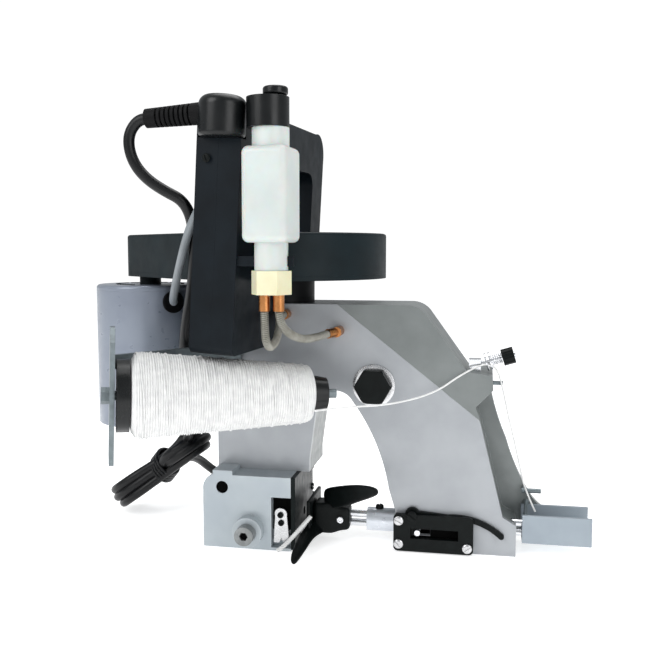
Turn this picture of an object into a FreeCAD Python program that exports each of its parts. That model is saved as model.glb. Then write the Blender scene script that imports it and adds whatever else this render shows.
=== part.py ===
import FreeCAD, Part
import math
import os

# Portable bag closing (bag closer) sewing machine.
# Millimetres, +Z up, table at z = 0, +X from the looper head to the needle side, +Y to the rear.
# The origin is the foot of the vertical main shaft's axis, on the underside of the looper head.

V = FreeCAD.Vector
OUT = {}

# ---- driving dimensions -------------------------------------------------------------------
WALL = 3.5                # casting wall
FRAME_HALF = 22.0         # half depth of the C-shaped casting
COVER_T = 4.0             # front cover plate
REAR_COVER_T = 3.0
FIT = 0.05                # radial running clearance of turning and sliding pieces
GAP = 0.5                 # clearance between pieces that pass each other

HEAD_X0, HEAD_X1 = -45.0, 17.0
HEAD_FRONT = -45.0
HEAD_H = 51.0
HEAD_WALL = 4.0
THROAT_T = 3.0            # throat plate
BOSS_X, BOSS_Z = -11.8, 13.8     # boss of the feed adjusting screw
LOOPER_X, LOOPER_Y = -14.0, -4.0
LEG_X0, LEG_X1 = -40.0, 26.0
TOP_Z = 168.0
FOOT_X0, FOOT_X1 = 86.0, 167.0
FOOT_H = 22.0

BAR_Y = -15.0             # needle bar and presser bar share this plane
NEEDLE_Z = 20.0
PRESSER_Z = 13.6
BAR_R = 2.5
NEEDLE_R = 1.0
NEEDLE_TIP_X = 29.0
NEEDLE_BAR_X0 = 50.5
NEEDLE_BAR_X1 = 192.0
HOUSING_X0 = 65.7
HOUSING_R = 8.0
FOOT_PAD_X = 25.5         # face of the presser pad towards the throat plate
FOOT_PAD_T = 2.5
HUB_X1 = 52.0

PIVOT_X, PIVOT_Z = 71.0, 113.0
LEVER_R = 96.0            # needle lever, pivot to drive pin
LEVER_REST_DEG = 31.0     # lever angle from the vertical at rest
LEVER_SWING_DEG = 15.5
ROCKER_R = 30.0           # upper arm of the needle lever
LEVER_Y0, LEVER_Y1 = -4.0, 1.0
PIVOT_SHAFT_R = 5.0
LEVER_PIN_R = 2.0
SLOT_PLAY = 0.5           # play of the drive pin in the needle bar's slot

SHAFT_R = 6.0             # main shaft
CRANK_R = 4.0             # crank throw
DISC_Z0, DISC_Z1 = 148.0, 152.0
BEARING_R = 13.0
BEARING_H = 8.0
NECK_R = 24.0
NECK_Z1 = 185.0
SLEEVE_R = 15.0
SLEEVE_Z0 = 154.0

MOTOR_X, MOTOR_Y = -108.0, 20.0
MOTOR_R = 40.0
MOTOR_Z0, MOTOR_Z1 = 75.0, 179.0
MOTOR_CAP_T = 4.0
MOTOR_SHAFT_R = 4.0

COVER_BIG_R = 75.0        # belt cover, round end over the driven pulley
COVER_SMALL_R = 16.5      # belt cover, round end over the motor
COVER_Z1 = 216.0
BASE_T = 3.0
SHELL_T = 2.5
PULLEY_R = 56.0
DRIVE_R = 9.0
FLANGE = 3.4
PULLEY_Z0, PULLEY_Z1 = 192.0, 204.0
BELT_T = 3.0
BELT_GAP = 0.4

HANDLE_X, HANDLE_Y = -10.8, -105.0   # middle of the handle's front face
HANDLE_TURN = -5.0
HANDLE_LEAN = 3.2         # the loop leans, its foot towards the motor
CAP_R = 14.3              # drum at the handle's front end, where the mains lead enters
HANDLE_W = 28.4
HANDLE_WALL = 3.0
COLUMN_D = 27.0
COLUMN_Z0 = 141.0
GRIP_Z0 = 262.0
HANDLE_TOP = GRIP_Z0 + 28.0      # top of the column's front end
REAR_LEG_U0, REAR_LEG_U1 = 147.0, 172.0
TRIGGER_U0, TRIGGER_U1 = 34.0, 62.0

OIL_X, OIL_Y = 19.9, -104.0
OIL_TURN = -6.0
BOTTLE_S = 28.0
BOTTLE_Z0, BOTTLE_Z1 = 209.0, 264.5
NECK_LOW_R, NECK_HIGH_R = 10.0, 11.0
OIL_NUT_Z0, OIL_NUT_Z1 = 178.4, 192.5
OIL_CAP_Z0, OIL_CAP_Z1 = 275.5, 293.0
OIL_CAP_R = 12.6
OIL_CAP_X = OIL_X - 1.6    # the cap's skirt and the pull knob stand off the neck's axis
KNOB_X, KNOB_R = OIL_X + 3.0, 7.4
NUT_CORNERS = 24.5
CLIP_Z0, CLIP_Z1 = 195.0, 201.0
FITTING_OFFSET = 4.4      # oil fittings, either side of the bottle's axis
HOSE_R = 2.5
FITTING_R = 3.4
FITTING_H = 10.0

SPOOL_START = V(-71.0, -111.0, 116.0)
SPOOL_END = V(35.0, -60.0, 112.0)
CONE_R0, CONE_R1 = 26.0, 18.0
SPINDLE_R = 3.0

TENSION_START = V(141.0, -10.0, 127.4)
TENSION_DEG = 17.0
DISC_R = 6.2

CORD_R = 3.5              # mains lead
BOOT_R = 6.4              # ribbed boot where the mains lead leaves the handle
MOTOR_LEAD_R = 2.75
THREAD_R = 0.6
CHAIN_R = 1.2

# corner points of the flexible lines; each corner is rounded as far as its runs allow
HOSE_A = [(OIL_X - FITTING_OFFSET, OIL_Y, 168.4), (15.4, -103.5, 158), (15, -99, 149),
          (15.2, -90, 144.5), (16, -78, 147.5), (14.5, -64, 155), (11, -49, 160.5), (10, -34, 161)]
HOSE_B = [(OIL_X + FITTING_OFFSET, OIL_Y, 168.4), (24.6, -103, 161.5), (27.5, -93, 154),
          (32, -76, 148.9), (36, -57, 147.8), (42, -42, 149.3)]
BOOT_ROOT, BOOT_TIP = (-21.0, -98.5, 286.2), (-59.4, -97.5, 284.2)
MAINS = [(-50, -97.7, 284.7), (-66.8, -97.3, 283.8), (-71.6, -97, 272), (-69.5, -96.5, 260.5),
         (-62, -96, 249), (-50, -95, 240.8), (-38.6, -93, 235.2), (-34.2, -89, 223.5), (-34.4, -85, 208),
         (-37.5, -79, 192), (-43, -69, 176), (-51, -57.5, 158), (-58.5, -44, 137), (-61.5, -33, 114),
         (-64, -20, 92), (-67, -5, 72), (-80, 14, 58)]
MAINS_TAIL = [(-86, 34, 42), (-84, 54, 36), (-77, 70, 22), (-64, 77, 12), (-48, 75, 9), (-36, 68, 9)]
MOTOR_LEAD = [(-25, -99, 231.5), (-30.5, -99, 222.5), (-38, -92, 209), (-47, -77.5, 196), (-57, -60, 182),
              (-65.5, -43, 172), (-71.8, -26.5, 168), (-77.8, -9.9, 167)]
THREAD = [(40.5, -77.8, 104.2), (56, -63, 104.4), (84, -48, 104), (112, -34, 110), (131, -30, 124),
          (147.1, -13, 129.3), (153.5, -14, 124), (157, -13, 111), (160.5, -11, 94), (165.5, -8, 74),
          (169.5, -6.5, 56), (173, -6.2, 41), (180, -11, 27)]
CHAIN = [(28.5, -36, 21.5), (24.5, -42, 17.5), (18.5, -45.6, 10.5), (11, -48, 2.4)]


# ---- helpers ------------------------------------------------------------------------------
def box(x0, x1, y0, y1, z0, z1):
    return Part.makeBox(x1 - x0, y1 - y0, z1 - z0, V(x0, y0, z0))


def rod(start, end, radius):
    run = end - start
    return Part.makeCylinder(radius, run.Length, start, run)


def tube(start, end, outer, inner):
    return rod(start, end, outer).cut(rod(start, end, inner))


def cone(start, end, r0, r1):
    run = end - start
    return Part.makeCone(r0, r1, run.Length, start, run)


def upright(x, y, z0, z1, radius):
    return rod(V(x, y, z0), V(x, y, z1), radius)


def outline(points):
    """A closed face in the XZ plane; an item of four numbers is an arc's middle and end."""
    edges = []
    here = V(points[0][0], 0, points[0][1])
    first = here
    for item in points[1:] + [points[0]]:
        end = V(item[-2], 0, item[-1])
        if len(item) == 4:
            edges.append(Part.Arc(here, V(item[0], 0, item[1]), end).toShape())
        elif (end - here).Length > 1e-6:
            edges.append(Part.LineSegment(here, end).toShape())
        here = end
    if (here - first).Length > 1e-6:
        edges.append(Part.LineSegment(here, first).toShape())
    return Part.Face(Part.Wire(edges))


def slab(face, y0, y1):
    moved = face.copy()
    moved.translate(V(0, y0, 0))
    return moved.extrude(V(0, y1 - y0, 0))


def sheet_piece(points, thickness):
    """A flat plate from its corner points, thickened to one side."""
    face = Part.Face(Part.makePolygon([V(*p) for p in points] + [V(*points[0])]))
    return face.extrude(face.normalAt(0, 0) * thickness)


def hexagon(start, end, across_corners):
    """A six-sided prism from start to end with one corner straight up or along X."""
    run = end - start
    corner = across_corners / 2
    angles = [math.radians(60 * i) for i in range(7)]
    ring_points = [V(corner * math.cos(a), corner * math.sin(a), 0) for a in angles]
    prism = Part.Face(Part.makePolygon(ring_points)).extrude(V(0, 0, run.Length))
    prism.Placement = FreeCAD.Placement(start, FreeCAD.Rotation(V(0, 0, 1), run))
    return prism


def hull_slab(big, big_r, small, small_r, z0, z1):
    """The space inside a belt-like loop round two circles."""
    run = small - big
    sin_a = (big_r - small_r) / run.Length
    cos_a = math.sqrt(1 - sin_a * sin_a)
    u = V(run).normalize()
    w = V(-u.y, u.x, 0)
    corners = []
    rounds = ((1, big, big_r), (1, small, small_r), (-1, small, small_r), (-1, big, big_r))
    for side, centre, radius in rounds:
        corners.append(centre + (u * sin_a + w * (side * cos_a)) * radius)
    flat = [V(c.x, c.y, z0) for c in corners]
    middle = Part.Face(Part.makePolygon(flat + [flat[0]])).extrude(V(0, 0, z1 - z0))
    round_big = upright(big.x, big.y, z0, z1, big_r)
    round_small = upright(small.x, small.y, z0, z1, small_r)
    return middle.fuse([round_big, round_small]).removeSplitter()


def cord_tube(name, points, radius):
    """A tube along straight runs joined by tangent arcs, each as large as its runs allow."""
    pts = [V(*p) for p in points]
    edges = []
    here = pts[0]
    smallest = 1e9
    for before, corner, after in zip(pts, pts[1:], pts[2:]):
        a = (before - corner).normalize()
        b = (after - corner).normalize()
        turn = math.pi - a.getAngle(b)
        reach = 0.45 * min((before - corner).Length, (after - corner).Length)
        arc_r = reach / math.tan(turn / 2)
        smallest = min(smallest, arc_r)
        middle_dir = (a + b).normalize()
        centre = corner + middle_dir * (arc_r / math.cos(turn / 2))
        start, end = corner + a * reach, corner + b * reach
        edges.append(Part.LineSegment(here, start).toShape())
        edges.append(Part.Arc(start, centre - middle_dir * arc_r, end).toShape())
        here = end
    edges.append(Part.LineSegment(here, pts[-1]).toShape())
    path = Part.Wire(edges)
    ring_edge = Part.makeCircle(radius, pts[0], pts[1] - pts[0])
    solid = path.makePipeShell([Part.Wire([ring_edge])], True, True)
    expected = math.pi * radius * radius * path.Length
    print(name, "length", round(path.Length, 1), "smallest radius", round(smallest, 1),
          "volume ratio", round(solid.Volume / expected, 4))
    return solid


def placed(shape, start, direction):
    """Moves a shape that is built along +X so that it runs from start along direction."""
    shape.Placement = FreeCAD.Placement(start, FreeCAD.Rotation(V(1, 0, 0), direction))
    return shape


def along_x(x0, x1, radius):
    return rod(V(x0, 0, 0), V(x1, 0, 0), radius)


def put(name, shape):
    OUT[name] = shape


def drill(names, tool):
    for name in names:
        OUT[name] = OUT[name].cut(tool)


# ---- frame --------------------------------------------------------------------------------
FRAME_POINTS = [
    (LEG_X0, HEAD_H), (LEG_X0, TOP_Z - 8), (LEG_X0 + 2.3, TOP_Z - 2.3, LEG_X0 + 8, TOP_Z),
    (92, TOP_Z), (101, TOP_Z - 2.2, 107, TOP_Z - 8), (133, 124), (150, 121.4), (150.5, 112),
    (139, 100), (141.2, 94.5), (149.6, 60.4), (158.1, 26.2), (FOOT_X1, FOOT_H - 1), (FOOT_X1, 0), (FOOT_X0, 0), (FOOT_X0, 27),
    (81.5, 42.2), (71.2, 76.3, 56, 102), (43, 108.5, 31, 97), (LEG_X1, 60), (LEG_X1, HEAD_H),
]
FLANGE_POINTS = [
    (130, 118), (150, 121.4), (148.5, 111), (152.6, 94, 160.1, 73.4), (165.8, 57, 174.7, 39),
    (180, 31, 190, 23), (199, 18), (199, 8), (150, 8), (140, 60),
]
SPLIT_POINTS = [(44, TOP_Z + 6), (44, TOP_Z + 1), (142.4, 91), (175, 91), (175, TOP_Z + 6)]


def build_frame():
    face = outline(FRAME_POINTS)
    inner = face.makeOffset2D(-WALL, 2)
    body = slab(face, -FRAME_HALF, FRAME_HALF)
    body = body.cut(slab(inner, -FRAME_HALF - 1, FRAME_HALF - WALL))
    front_skin = slab(face, -FRAME_HALF - COVER_T, -FRAME_HALF)
    upper_zone = slab(outline(SPLIT_POINTS), -FRAME_HALF - COVER_T - 1, -FRAME_HALF + 1)
    upper_skin = front_skin.common(upper_zone)
    front_cover = front_skin.cut(upper_zone)
    flange = slab(outline(FLANGE_POINTS), 4, 10).cut(slab(inner, -30, 30))
    body = body.fuse([upper_skin, flange]).removeSplitter()
    # window in the rear wall, closed by the rear cover
    body = body.cut(box(-24, 92, FRAME_HALF - WALL - 1, FRAME_HALF + 1, 124, 156))
    rear_cover = box(-31, 99, FRAME_HALF, FRAME_HALF + REAR_COVER_T, 120, 160)
    # holes for the neck's sleeve, looper shaft, bars, bar housing and lever shaft
    body = body.cut(upright(0, 0, TOP_Z - WALL - 1, TOP_Z + 1, SLEEVE_R))
    body = body.cut(upright(LOOPER_X, LOOPER_Y, HEAD_H - 1, HEAD_H + WALL + 1, 4.0 + GAP))
    bars_out = [rod(V(FOOT_X1 - 18, BAR_Y, z), V(FOOT_X1 + 20, BAR_Y, z), BAR_R + GAP)
                for z in (NEEDLE_Z, PRESSER_Z)]
    housing_hole = rod(V(FOOT_X0 - 6, BAR_Y, 16.8), V(FOOT_X0 + 8, BAR_Y, 16.8), HOUSING_R)
    shaft_hole = rod(V(PIVOT_X, -40, PIVOT_Z), V(PIVOT_X, 40, PIVOT_Z), PIVOT_SHAFT_R)
    for tool in bars_out + [housing_hole, shaft_hole]:
        body = body.cut(tool)
    front_cover = front_cover.cut(shaft_hole)
    front_cover = front_cover.cut(box(98.5, 110, -30, -20, 10.8, 16.4))
    front_cover = front_cover.cut(housing_hole)
    put("frame_casting", body)
    put("front_cover", front_cover)
    put("rear_cover", rear_cover)


def build_head():
    """Looper head: a box casting with the front boss, the knife recess and a flat underside."""
    profile = outline([(HEAD_X0, 0), (HEAD_X0, HEAD_H - 11),
                       (HEAD_X0 + 2, HEAD_H - 3.5, HEAD_X0 + 7, HEAD_H), (HEAD_X1, HEAD_H), (HEAD_X1, 0)])
    head = slab(profile, HEAD_FRONT, FRAME_HALF)
    head = head.cut(box(HEAD_X0 + HEAD_WALL, HEAD_X1 + 1, -32, FRAME_HALF - HEAD_WALL,
                        HEAD_WALL, HEAD_H - HEAD_WALL))
    head = head.cut(box(3.3, HEAD_X1 + 1, HEAD_FRONT - 1, -39, 2, 37))
    head = head.cut(box(4.5, 15.5, -40, -31, 5.5, 12.5))
    ridge = box(-38, -24, HEAD_FRONT, -FRAME_HALF - COVER_T, HEAD_H, HEAD_H + 3)
    head = head.fuse(ridge)
    boss = rod(V(BOSS_X, HEAD_FRONT, BOSS_Z), V(BOSS_X, HEAD_FRONT - 8, BOSS_Z), 10.3)
    foot_boss = upright(LOOPER_X, LOOPER_Y, HEAD_WALL, 14, 8)
    head = head.fuse([boss, foot_boss]).removeSplitter()
    head = head.cut(upright(LOOPER_X, LOOPER_Y, 5, HEAD_H + 5, 4.0 + FIT))
    head = head.cut(rod(V(BOSS_X, HEAD_FRONT - 9, BOSS_Z), V(BOSS_X, -34, BOSS_Z), 4.0 + FIT))
    head = head.cut(rod(V(-31.4, HEAD_FRONT - 1, 42.3), V(-31.4, HEAD_FRONT + 12, 42.3), 4.25))
    put("looper_head", head)

    plate = box(HEAD_X1, HEAD_X1 + THROAT_T, HEAD_FRONT + 0.5, FRAME_HALF - 8, 1, HEAD_H)
    plate = plate.cut(rod(V(HEAD_X1 - 1, BAR_Y, NEEDLE_Z), V(HEAD_X1 + 5, BAR_Y, NEEDLE_Z), 3))
    plate = plate.cut(box(HEAD_X1 - 1, HEAD_X1 + 5, -31.5, 4.5, 7.4, 12.6))
    put("throat_plate", plate)

    screw_head = rod(V(BOSS_X, HEAD_FRONT - 8.4, BOSS_Z), V(BOSS_X, HEAD_FRONT - 16, BOSS_Z), 6.5)
    socket = hexagon(V(BOSS_X, HEAD_FRONT - 17, BOSS_Z), V(BOSS_X, HEAD_FRONT - 12, BOSS_Z), 6)
    shank = rod(V(BOSS_X, HEAD_FRONT - 8.4, BOSS_Z), V(BOSS_X, -36, BOSS_Z), 4.0)
    put("feed_adjust_screw", screw_head.fuse(shank).cut(socket).removeSplitter())

    knife = slab(outline([(4.5, 5), (5.6, 24), (6.0, 27.5, 9.6, 29), (13, 27.5, 13.8, 24), (15.6, 5),
                          (11.5, 5), (10, 8.5), (8.5, 5)]), -43, -41)
    pad = box(6, 13.4, -41, -39, 16, 27)
    put("fixed_knife", knife.fuse(pad).removeSplitter())
    blade = box(6, 15, -40.7, -39.3, 5.8, 12)
    arm = box(7, 10.5, -39.3, -34, 6.5, 11.5)
    put("moving_knife", blade.fuse(arm).removeSplitter())

    # looper: rocking shaft, hook arm and the crank arm that drives it inside the leg
    shaft = upright(LOOPER_X, LOOPER_Y, 6, 82, 4.0)
    hook = box(0, 25, -2.5, 2.5, 24, 27.5).fuse(box(20, 27, -6.5, -2.5, 24, 27.5))
    hook.rotate(V(0, 0, 0), V(0, 0, 1), -24)
    hook.translate(V(LOOPER_X, LOOPER_Y, 0))
    crank = box(LOOPER_X - 5, LOOPER_X + 5, LOOPER_Y - 5, LOOPER_Y + 16, 74, 80)
    put("looper", shaft.fuse([hook, crank]).removeSplitter())

    teeth = [box(15.5, HEAD_X1 + THROAT_T + 1, y, y + 2.2, 8, 12) for y in range(-30, -2, 4)]
    bar = box(5, 15.8, -30, -3.8, 8, 12)
    put("feed_dog", bar.fuse(teeth).removeSplitter())


def build_bars():
    """Needle bar with its slotted drive block, presser bar, their housing and the presser foot."""
    housing = rod(V(HOUSING_X0, BAR_Y, 16.8), V(FOOT_X0 + 4.5, BAR_Y, 16.8), HOUSING_R)
    for z in (NEEDLE_Z, PRESSER_Z):
        housing = housing.cut(rod(V(HOUSING_X0 - 1, BAR_Y, z), V(FOOT_X0 + 6, BAR_Y, z), BAR_R + FIT))
    put("bar_housing", housing)

    pin_x = PIVOT_X + LEVER_R * math.sin(math.radians(LEVER_REST_DEG))
    bar = rod(V(NEEDLE_BAR_X0, BAR_Y, NEEDLE_Z), V(NEEDLE_BAR_X1, BAR_Y, NEEDLE_Z), BAR_R)
    block = box(pin_x - 5, pin_x + 5, BAR_Y, LEVER_Y0 - 1.5, 17.2, 36.5)
    half_slot = LEVER_PIN_R + SLOT_PLAY
    slot = box(pin_x - half_slot, pin_x + half_slot, BAR_Y + 2.6, 0, 17.9, 33.6)
    bar = bar.fuse(block).cut(slot).removeSplitter()
    shank_end = V(NEEDLE_BAR_X0 + 10, BAR_Y, NEEDLE_Z)
    tip = V(NEEDLE_TIP_X, BAR_Y, NEEDLE_Z)
    put("needle_bar", bar.cut(rod(V(NEEDLE_BAR_X0 - 1, BAR_Y, NEEDLE_Z), shank_end, NEEDLE_R)))
    needle = rod(tip + V(4, 0, 0), shank_end, NEEDLE_R)
    point = cone(tip, tip + V(4, 0, 0), 0.15, NEEDLE_R)
    put("needle", needle.fuse(point).removeSplitter())

    presser = rod(V(40, BAR_Y, PRESSER_Z), V(172, BAR_Y, PRESSER_Z), BAR_R)
    lift_pin = rod(V(101.5, BAR_Y, PRESSER_Z), V(101.5, -31.0, PRESSER_Z), 2.0)
    put("presser_bar", presser.fuse(lift_pin).removeSplitter())

    pad_x1 = FOOT_PAD_X + FOOT_PAD_T
    pad = box(FOOT_PAD_X, pad_x1, -34, 6, 4, 32)
    hub = box(pad_x1, HUB_X1, BAR_Y - 8, BAR_Y + 8, 7.5, 26.5)
    upper_wing = sheet_piece([(38, -22.6, 22), (38, -22.6, 38), (70, -53, 53), (78, -60.6, 50),
                              (78, -60.6, 44)], 1.8)
    lower_wing = sheet_piece([(38, -22.6, 8), (38, -22.6, 25), (27, -80, 9), (27, -80, 2)], 1.8)
    foot = pad.fuse([hub, upper_wing, lower_wing]).removeSplitter()
    foot = foot.cut(rod(V(20, BAR_Y, NEEDLE_Z), V(HUB_X1 + 1, BAR_Y, NEEDLE_Z), BAR_R + GAP))
    foot = foot.cut(rod(V(40, BAR_Y, PRESSER_Z), V(HUB_X1 + 1, BAR_Y, PRESSER_Z), BAR_R))
    put("presser_foot", foot)


def build_lifter():
    """Presser lifter: black plate over a lever that pushes the presser bar's pin."""
    front = -FRAME_HALF - COVER_T
    plate = box(85.5, 139, front - 6, front, 1, 26.5)
    edges = [e for e in plate.Edges if abs(e.tangentAt(e.FirstParameter).y) > 0.9]
    plate = plate.makeFillet(3, edges)
    plate = plate.cut(box(84, 140, front - 3.4, front + 1, 9.3, 28))
    plate = plate.fuse(box(86.5, 91, front - 3.4, front, 18, 25.5))
    plate = plate.cut(box(97, 129, front - 7, front + 1, 10, 17))
    put("lifter_plate", plate.removeSplitter())

    y0, y1 = front - 3.0, front - 0.5
    hub = rod(V(98, y0, 25.5), V(98, y1, 25.5), 5)
    tail = slab(outline([(98, 22.5), (122, 22.6), (143, 20.4, 156, 12.5), (159, 13, 158.2, 15.4),
                         (143, 24.2, 122, 26.6), (98, 28.5)]), y0, y1)
    cam = slab(outline([(94.6, 25), (95.2, 12), (97.1, 10.6, 99, 12), (100, 25)]), y0, y1)
    lever = hub.fuse([tail, cam]).removeSplitter()
    lever = lever.cut(rod(V(98, y0 - 1, 25.5), V(98, y1 + 1, 25.5), 2.0 + FIT))
    put("lifter_lever", lever)


def build_linkage():
    """Needle lever, its shaft and cap nut, and the connecting rod from the crank."""
    rest = math.radians(LEVER_REST_DEG)
    drive = V(PIVOT_X + LEVER_R * math.sin(rest), 0, PIVOT_Z - LEVER_R * math.cos(rest))
    tilt = math.radians(LEVER_SWING_DEG / 2)
    upper = V(PIVOT_X - ROCKER_R * math.sin(tilt), 0, PIVOT_Z + ROCKER_R * math.cos(tilt))
    pivot = V(PIVOT_X, 0, PIVOT_Z)

    def arm(tip, r0, r1):
        run = V(tip - pivot).normalize()
        side = V(run.z, 0, -run.x)
        corners = [pivot + side * r0, tip + side * r1, tip - side * r1, pivot - side * r0]
        return slab(outline([(c.x, c.z) for c in corners]), LEVER_Y0, LEVER_Y1)

    def disc(at, radius, y0, y1):
        return rod(V(at.x, y0, at.z), V(at.x, y1, at.z), radius)

    lever = arm(drive, 5, 4).fuse([
        arm(upper, 6, 4.5), disc(pivot, 9.5, LEVER_Y0 - 6, LEVER_Y1 + 6),
        disc(drive, 4.2, LEVER_Y0, LEVER_Y1), disc(upper, 4.5, LEVER_Y0, LEVER_Y1),
        disc(drive, LEVER_PIN_R, BAR_Y + 3.6, LEVER_Y0), disc(upper, 2.5, LEVER_Y1, 7)])
    lever = lever.cut(disc(pivot, PIVOT_SHAFT_R + FIT, -40, 40)).removeSplitter()
    put("needle_lever", lever)

    put("lever_shaft", rod(V(PIVOT_X, -33, PIVOT_Z), V(PIVOT_X, FRAME_HALF, PIVOT_Z), PIVOT_SHAFT_R))
    front = -FRAME_HALF - COVER_T
    washer = tube(V(PIVOT_X, front, PIVOT_Z), V(PIVOT_X, front - 1.6, PIVOT_Z), 14, PIVOT_SHAFT_R)
    nut = hexagon(V(PIVOT_X, front - 1.6, PIVOT_Z), V(PIVOT_X, front - 10, PIVOT_Z), 25.5)
    nut = nut.cut(rod(V(PIVOT_X, front + 1, PIVOT_Z), V(PIVOT_X, -33, PIVOT_Z), PIVOT_SHAFT_R))
    nut = nut.common(cone(V(PIVOT_X, front, PIVOT_Z), V(PIVOT_X, front - 12, PIVOT_Z), 17, 10.4))
    put("pivot_nut", Part.makeCompound([washer, nut]))

    rod_y0, rod_y1 = LEVER_Y1 + 0.5, LEVER_Y1 + 4.5
    z0, z1 = upper.z - 3, upper.z + 3
    left = -CRANK_R
    link = box(left, upper.x, rod_y0, rod_y1, z0, z1)
    link = link.fuse([upright(left, 0, z0, z1, 7.5), disc(upper, 6, rod_y0, rod_y1)])
    link = link.cut(upright(left, 0, z0 - 1, z1 + 1, 3.5))
    link = link.cut(disc(upper, 2.5 + FIT, rod_y0 - 1, rod_y1 + 1))
    put("connecting_rod", link.removeSplitter())


def build_shaft():
    """Main shaft with its crank disc, bearings, neck housing, pulleys and belt."""
    shaft = upright(0, 0, DISC_Z0, PULLEY_Z1 + 2, SHAFT_R)
    disc = upright(0, 0, DISC_Z0, DISC_Z1, 12)
    crank_pin = upright(-CRANK_R, 0, DISC_Z0 - 1.4, DISC_Z0, 3)
    put("main_shaft", shaft.fuse([disc, crank_pin]).removeSplitter())

    neck = upright(0, 0, TOP_Z, NECK_Z1, NECK_R).fuse(upright(0, 0, SLEEVE_Z0, TOP_Z, SLEEVE_R))
    neck = neck.cut(upright(0, 0, SLEEVE_Z0 - 1, NECK_Z1 + 1, BEARING_R - 2))
    lower = (SLEEVE_Z0, SLEEVE_Z0 + BEARING_H)
    upper = (NECK_Z1 - 1 - BEARING_H, NECK_Z1 - 1)
    bearings = []
    for z0, z1 in (lower, upper):
        neck = neck.cut(upright(0, 0, z0 - (z0 == lower[0]), z1 + 2 * (z0 == upper[0]), BEARING_R))
        bearings.append(tube(V(0, 0, z0), V(0, 0, z1), BEARING_R, SHAFT_R + FIT))
    put("neck_housing", neck.removeSplitter())
    put("shaft_bearings", Part.makeCompound(bearings))

    def pulley(x, y, groove_r, bore_r, hub_r):
        web = upright(x, y, PULLEY_Z0, PULLEY_Z1, groove_r)
        lower_lip = upright(x, y, PULLEY_Z0, PULLEY_Z0 + 1.2, groove_r + FLANGE)
        upper_lip = upright(x, y, PULLEY_Z1 - 1.2, PULLEY_Z1, groove_r + FLANGE)
        wheel = web.fuse([lower_lip, upper_lip])
        if groove_r > 2 * hub_r:
            rim = tube(V(x, y, PULLEY_Z0 + 4), V(x, y, PULLEY_Z1 + 1), groove_r - 6, hub_r)
            wheel = wheel.cut(rim)
        return wheel.cut(upright(x, y, PULLEY_Z0 - 1, PULLEY_Z1 + 1, bore_r)).removeSplitter()

    put("driven_pulley", pulley(0, 0, PULLEY_R, SHAFT_R, 14))
    big, small = V(0, 0, 0), V(MOTOR_X, MOTOR_Y, 0)
    z0, z1 = PULLEY_Z0 + 1.8, PULLEY_Z1 - 1.8
    belt = hull_slab(big, PULLEY_R + BELT_GAP + BELT_T, small, DRIVE_R + BELT_GAP + BELT_T, z0, z1)
    belt = belt.cut(hull_slab(big, PULLEY_R + BELT_GAP, small, DRIVE_R + BELT_GAP, z0 - 1, z1 + 1))
    put("drive_belt", belt)

    rotor = upright(MOTOR_X, MOTOR_Y, 92, 160, 26)
    shaft = upright(MOTOR_X, MOTOR_Y, MOTOR_Z0 + 1.5, PULLEY_Z1 + 2, MOTOR_SHAFT_R)
    small_wheel = pulley(MOTOR_X, MOTOR_Y, DRIVE_R, MOTOR_SHAFT_R, 20)
    put("motor_rotor", rotor.fuse([shaft, small_wheel]).removeSplitter())


def build_belt_cover():
    big, small = V(0, 0, 0), V(MOTOR_X, MOTOR_Y, 0)
    base = hull_slab(big, COVER_BIG_R, small, COVER_SMALL_R, NECK_Z1, NECK_Z1 + BASE_T)
    spacer = upright(MOTOR_X, MOTOR_Y, MOTOR_Z1, NECK_Z1, MOTOR_SHAFT_R + 4)
    base = base.fuse(spacer).removeSplitter()
    base = base.cut(upright(0, 0, NECK_Z1 - 1, NECK_Z1 + BASE_T + 1, SHAFT_R + 6))
    base = base.cut(upright(MOTOR_X, MOTOR_Y, MOTOR_Z1 - 1, NECK_Z1 + BASE_T + 1, MOTOR_SHAFT_R + 1.5))
    put("belt_cover_base", base)
    shell = hull_slab(big, COVER_BIG_R, small, COVER_SMALL_R, NECK_Z1 + BASE_T, COVER_Z1)
    top_edges = [e for e in shell.Edges if min(v.Z for v in e.Vertexes) > COVER_Z1 - 0.01]
    shell = shell.makeFillet(2.0, top_edges)
    hollow = hull_slab(big, COVER_BIG_R - SHELL_T, small, COVER_SMALL_R - SHELL_T,
                       NECK_Z1 + BASE_T - 1, COVER_Z1 - SHELL_T)
    put("belt_cover", shell.cut(hollow))


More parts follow.
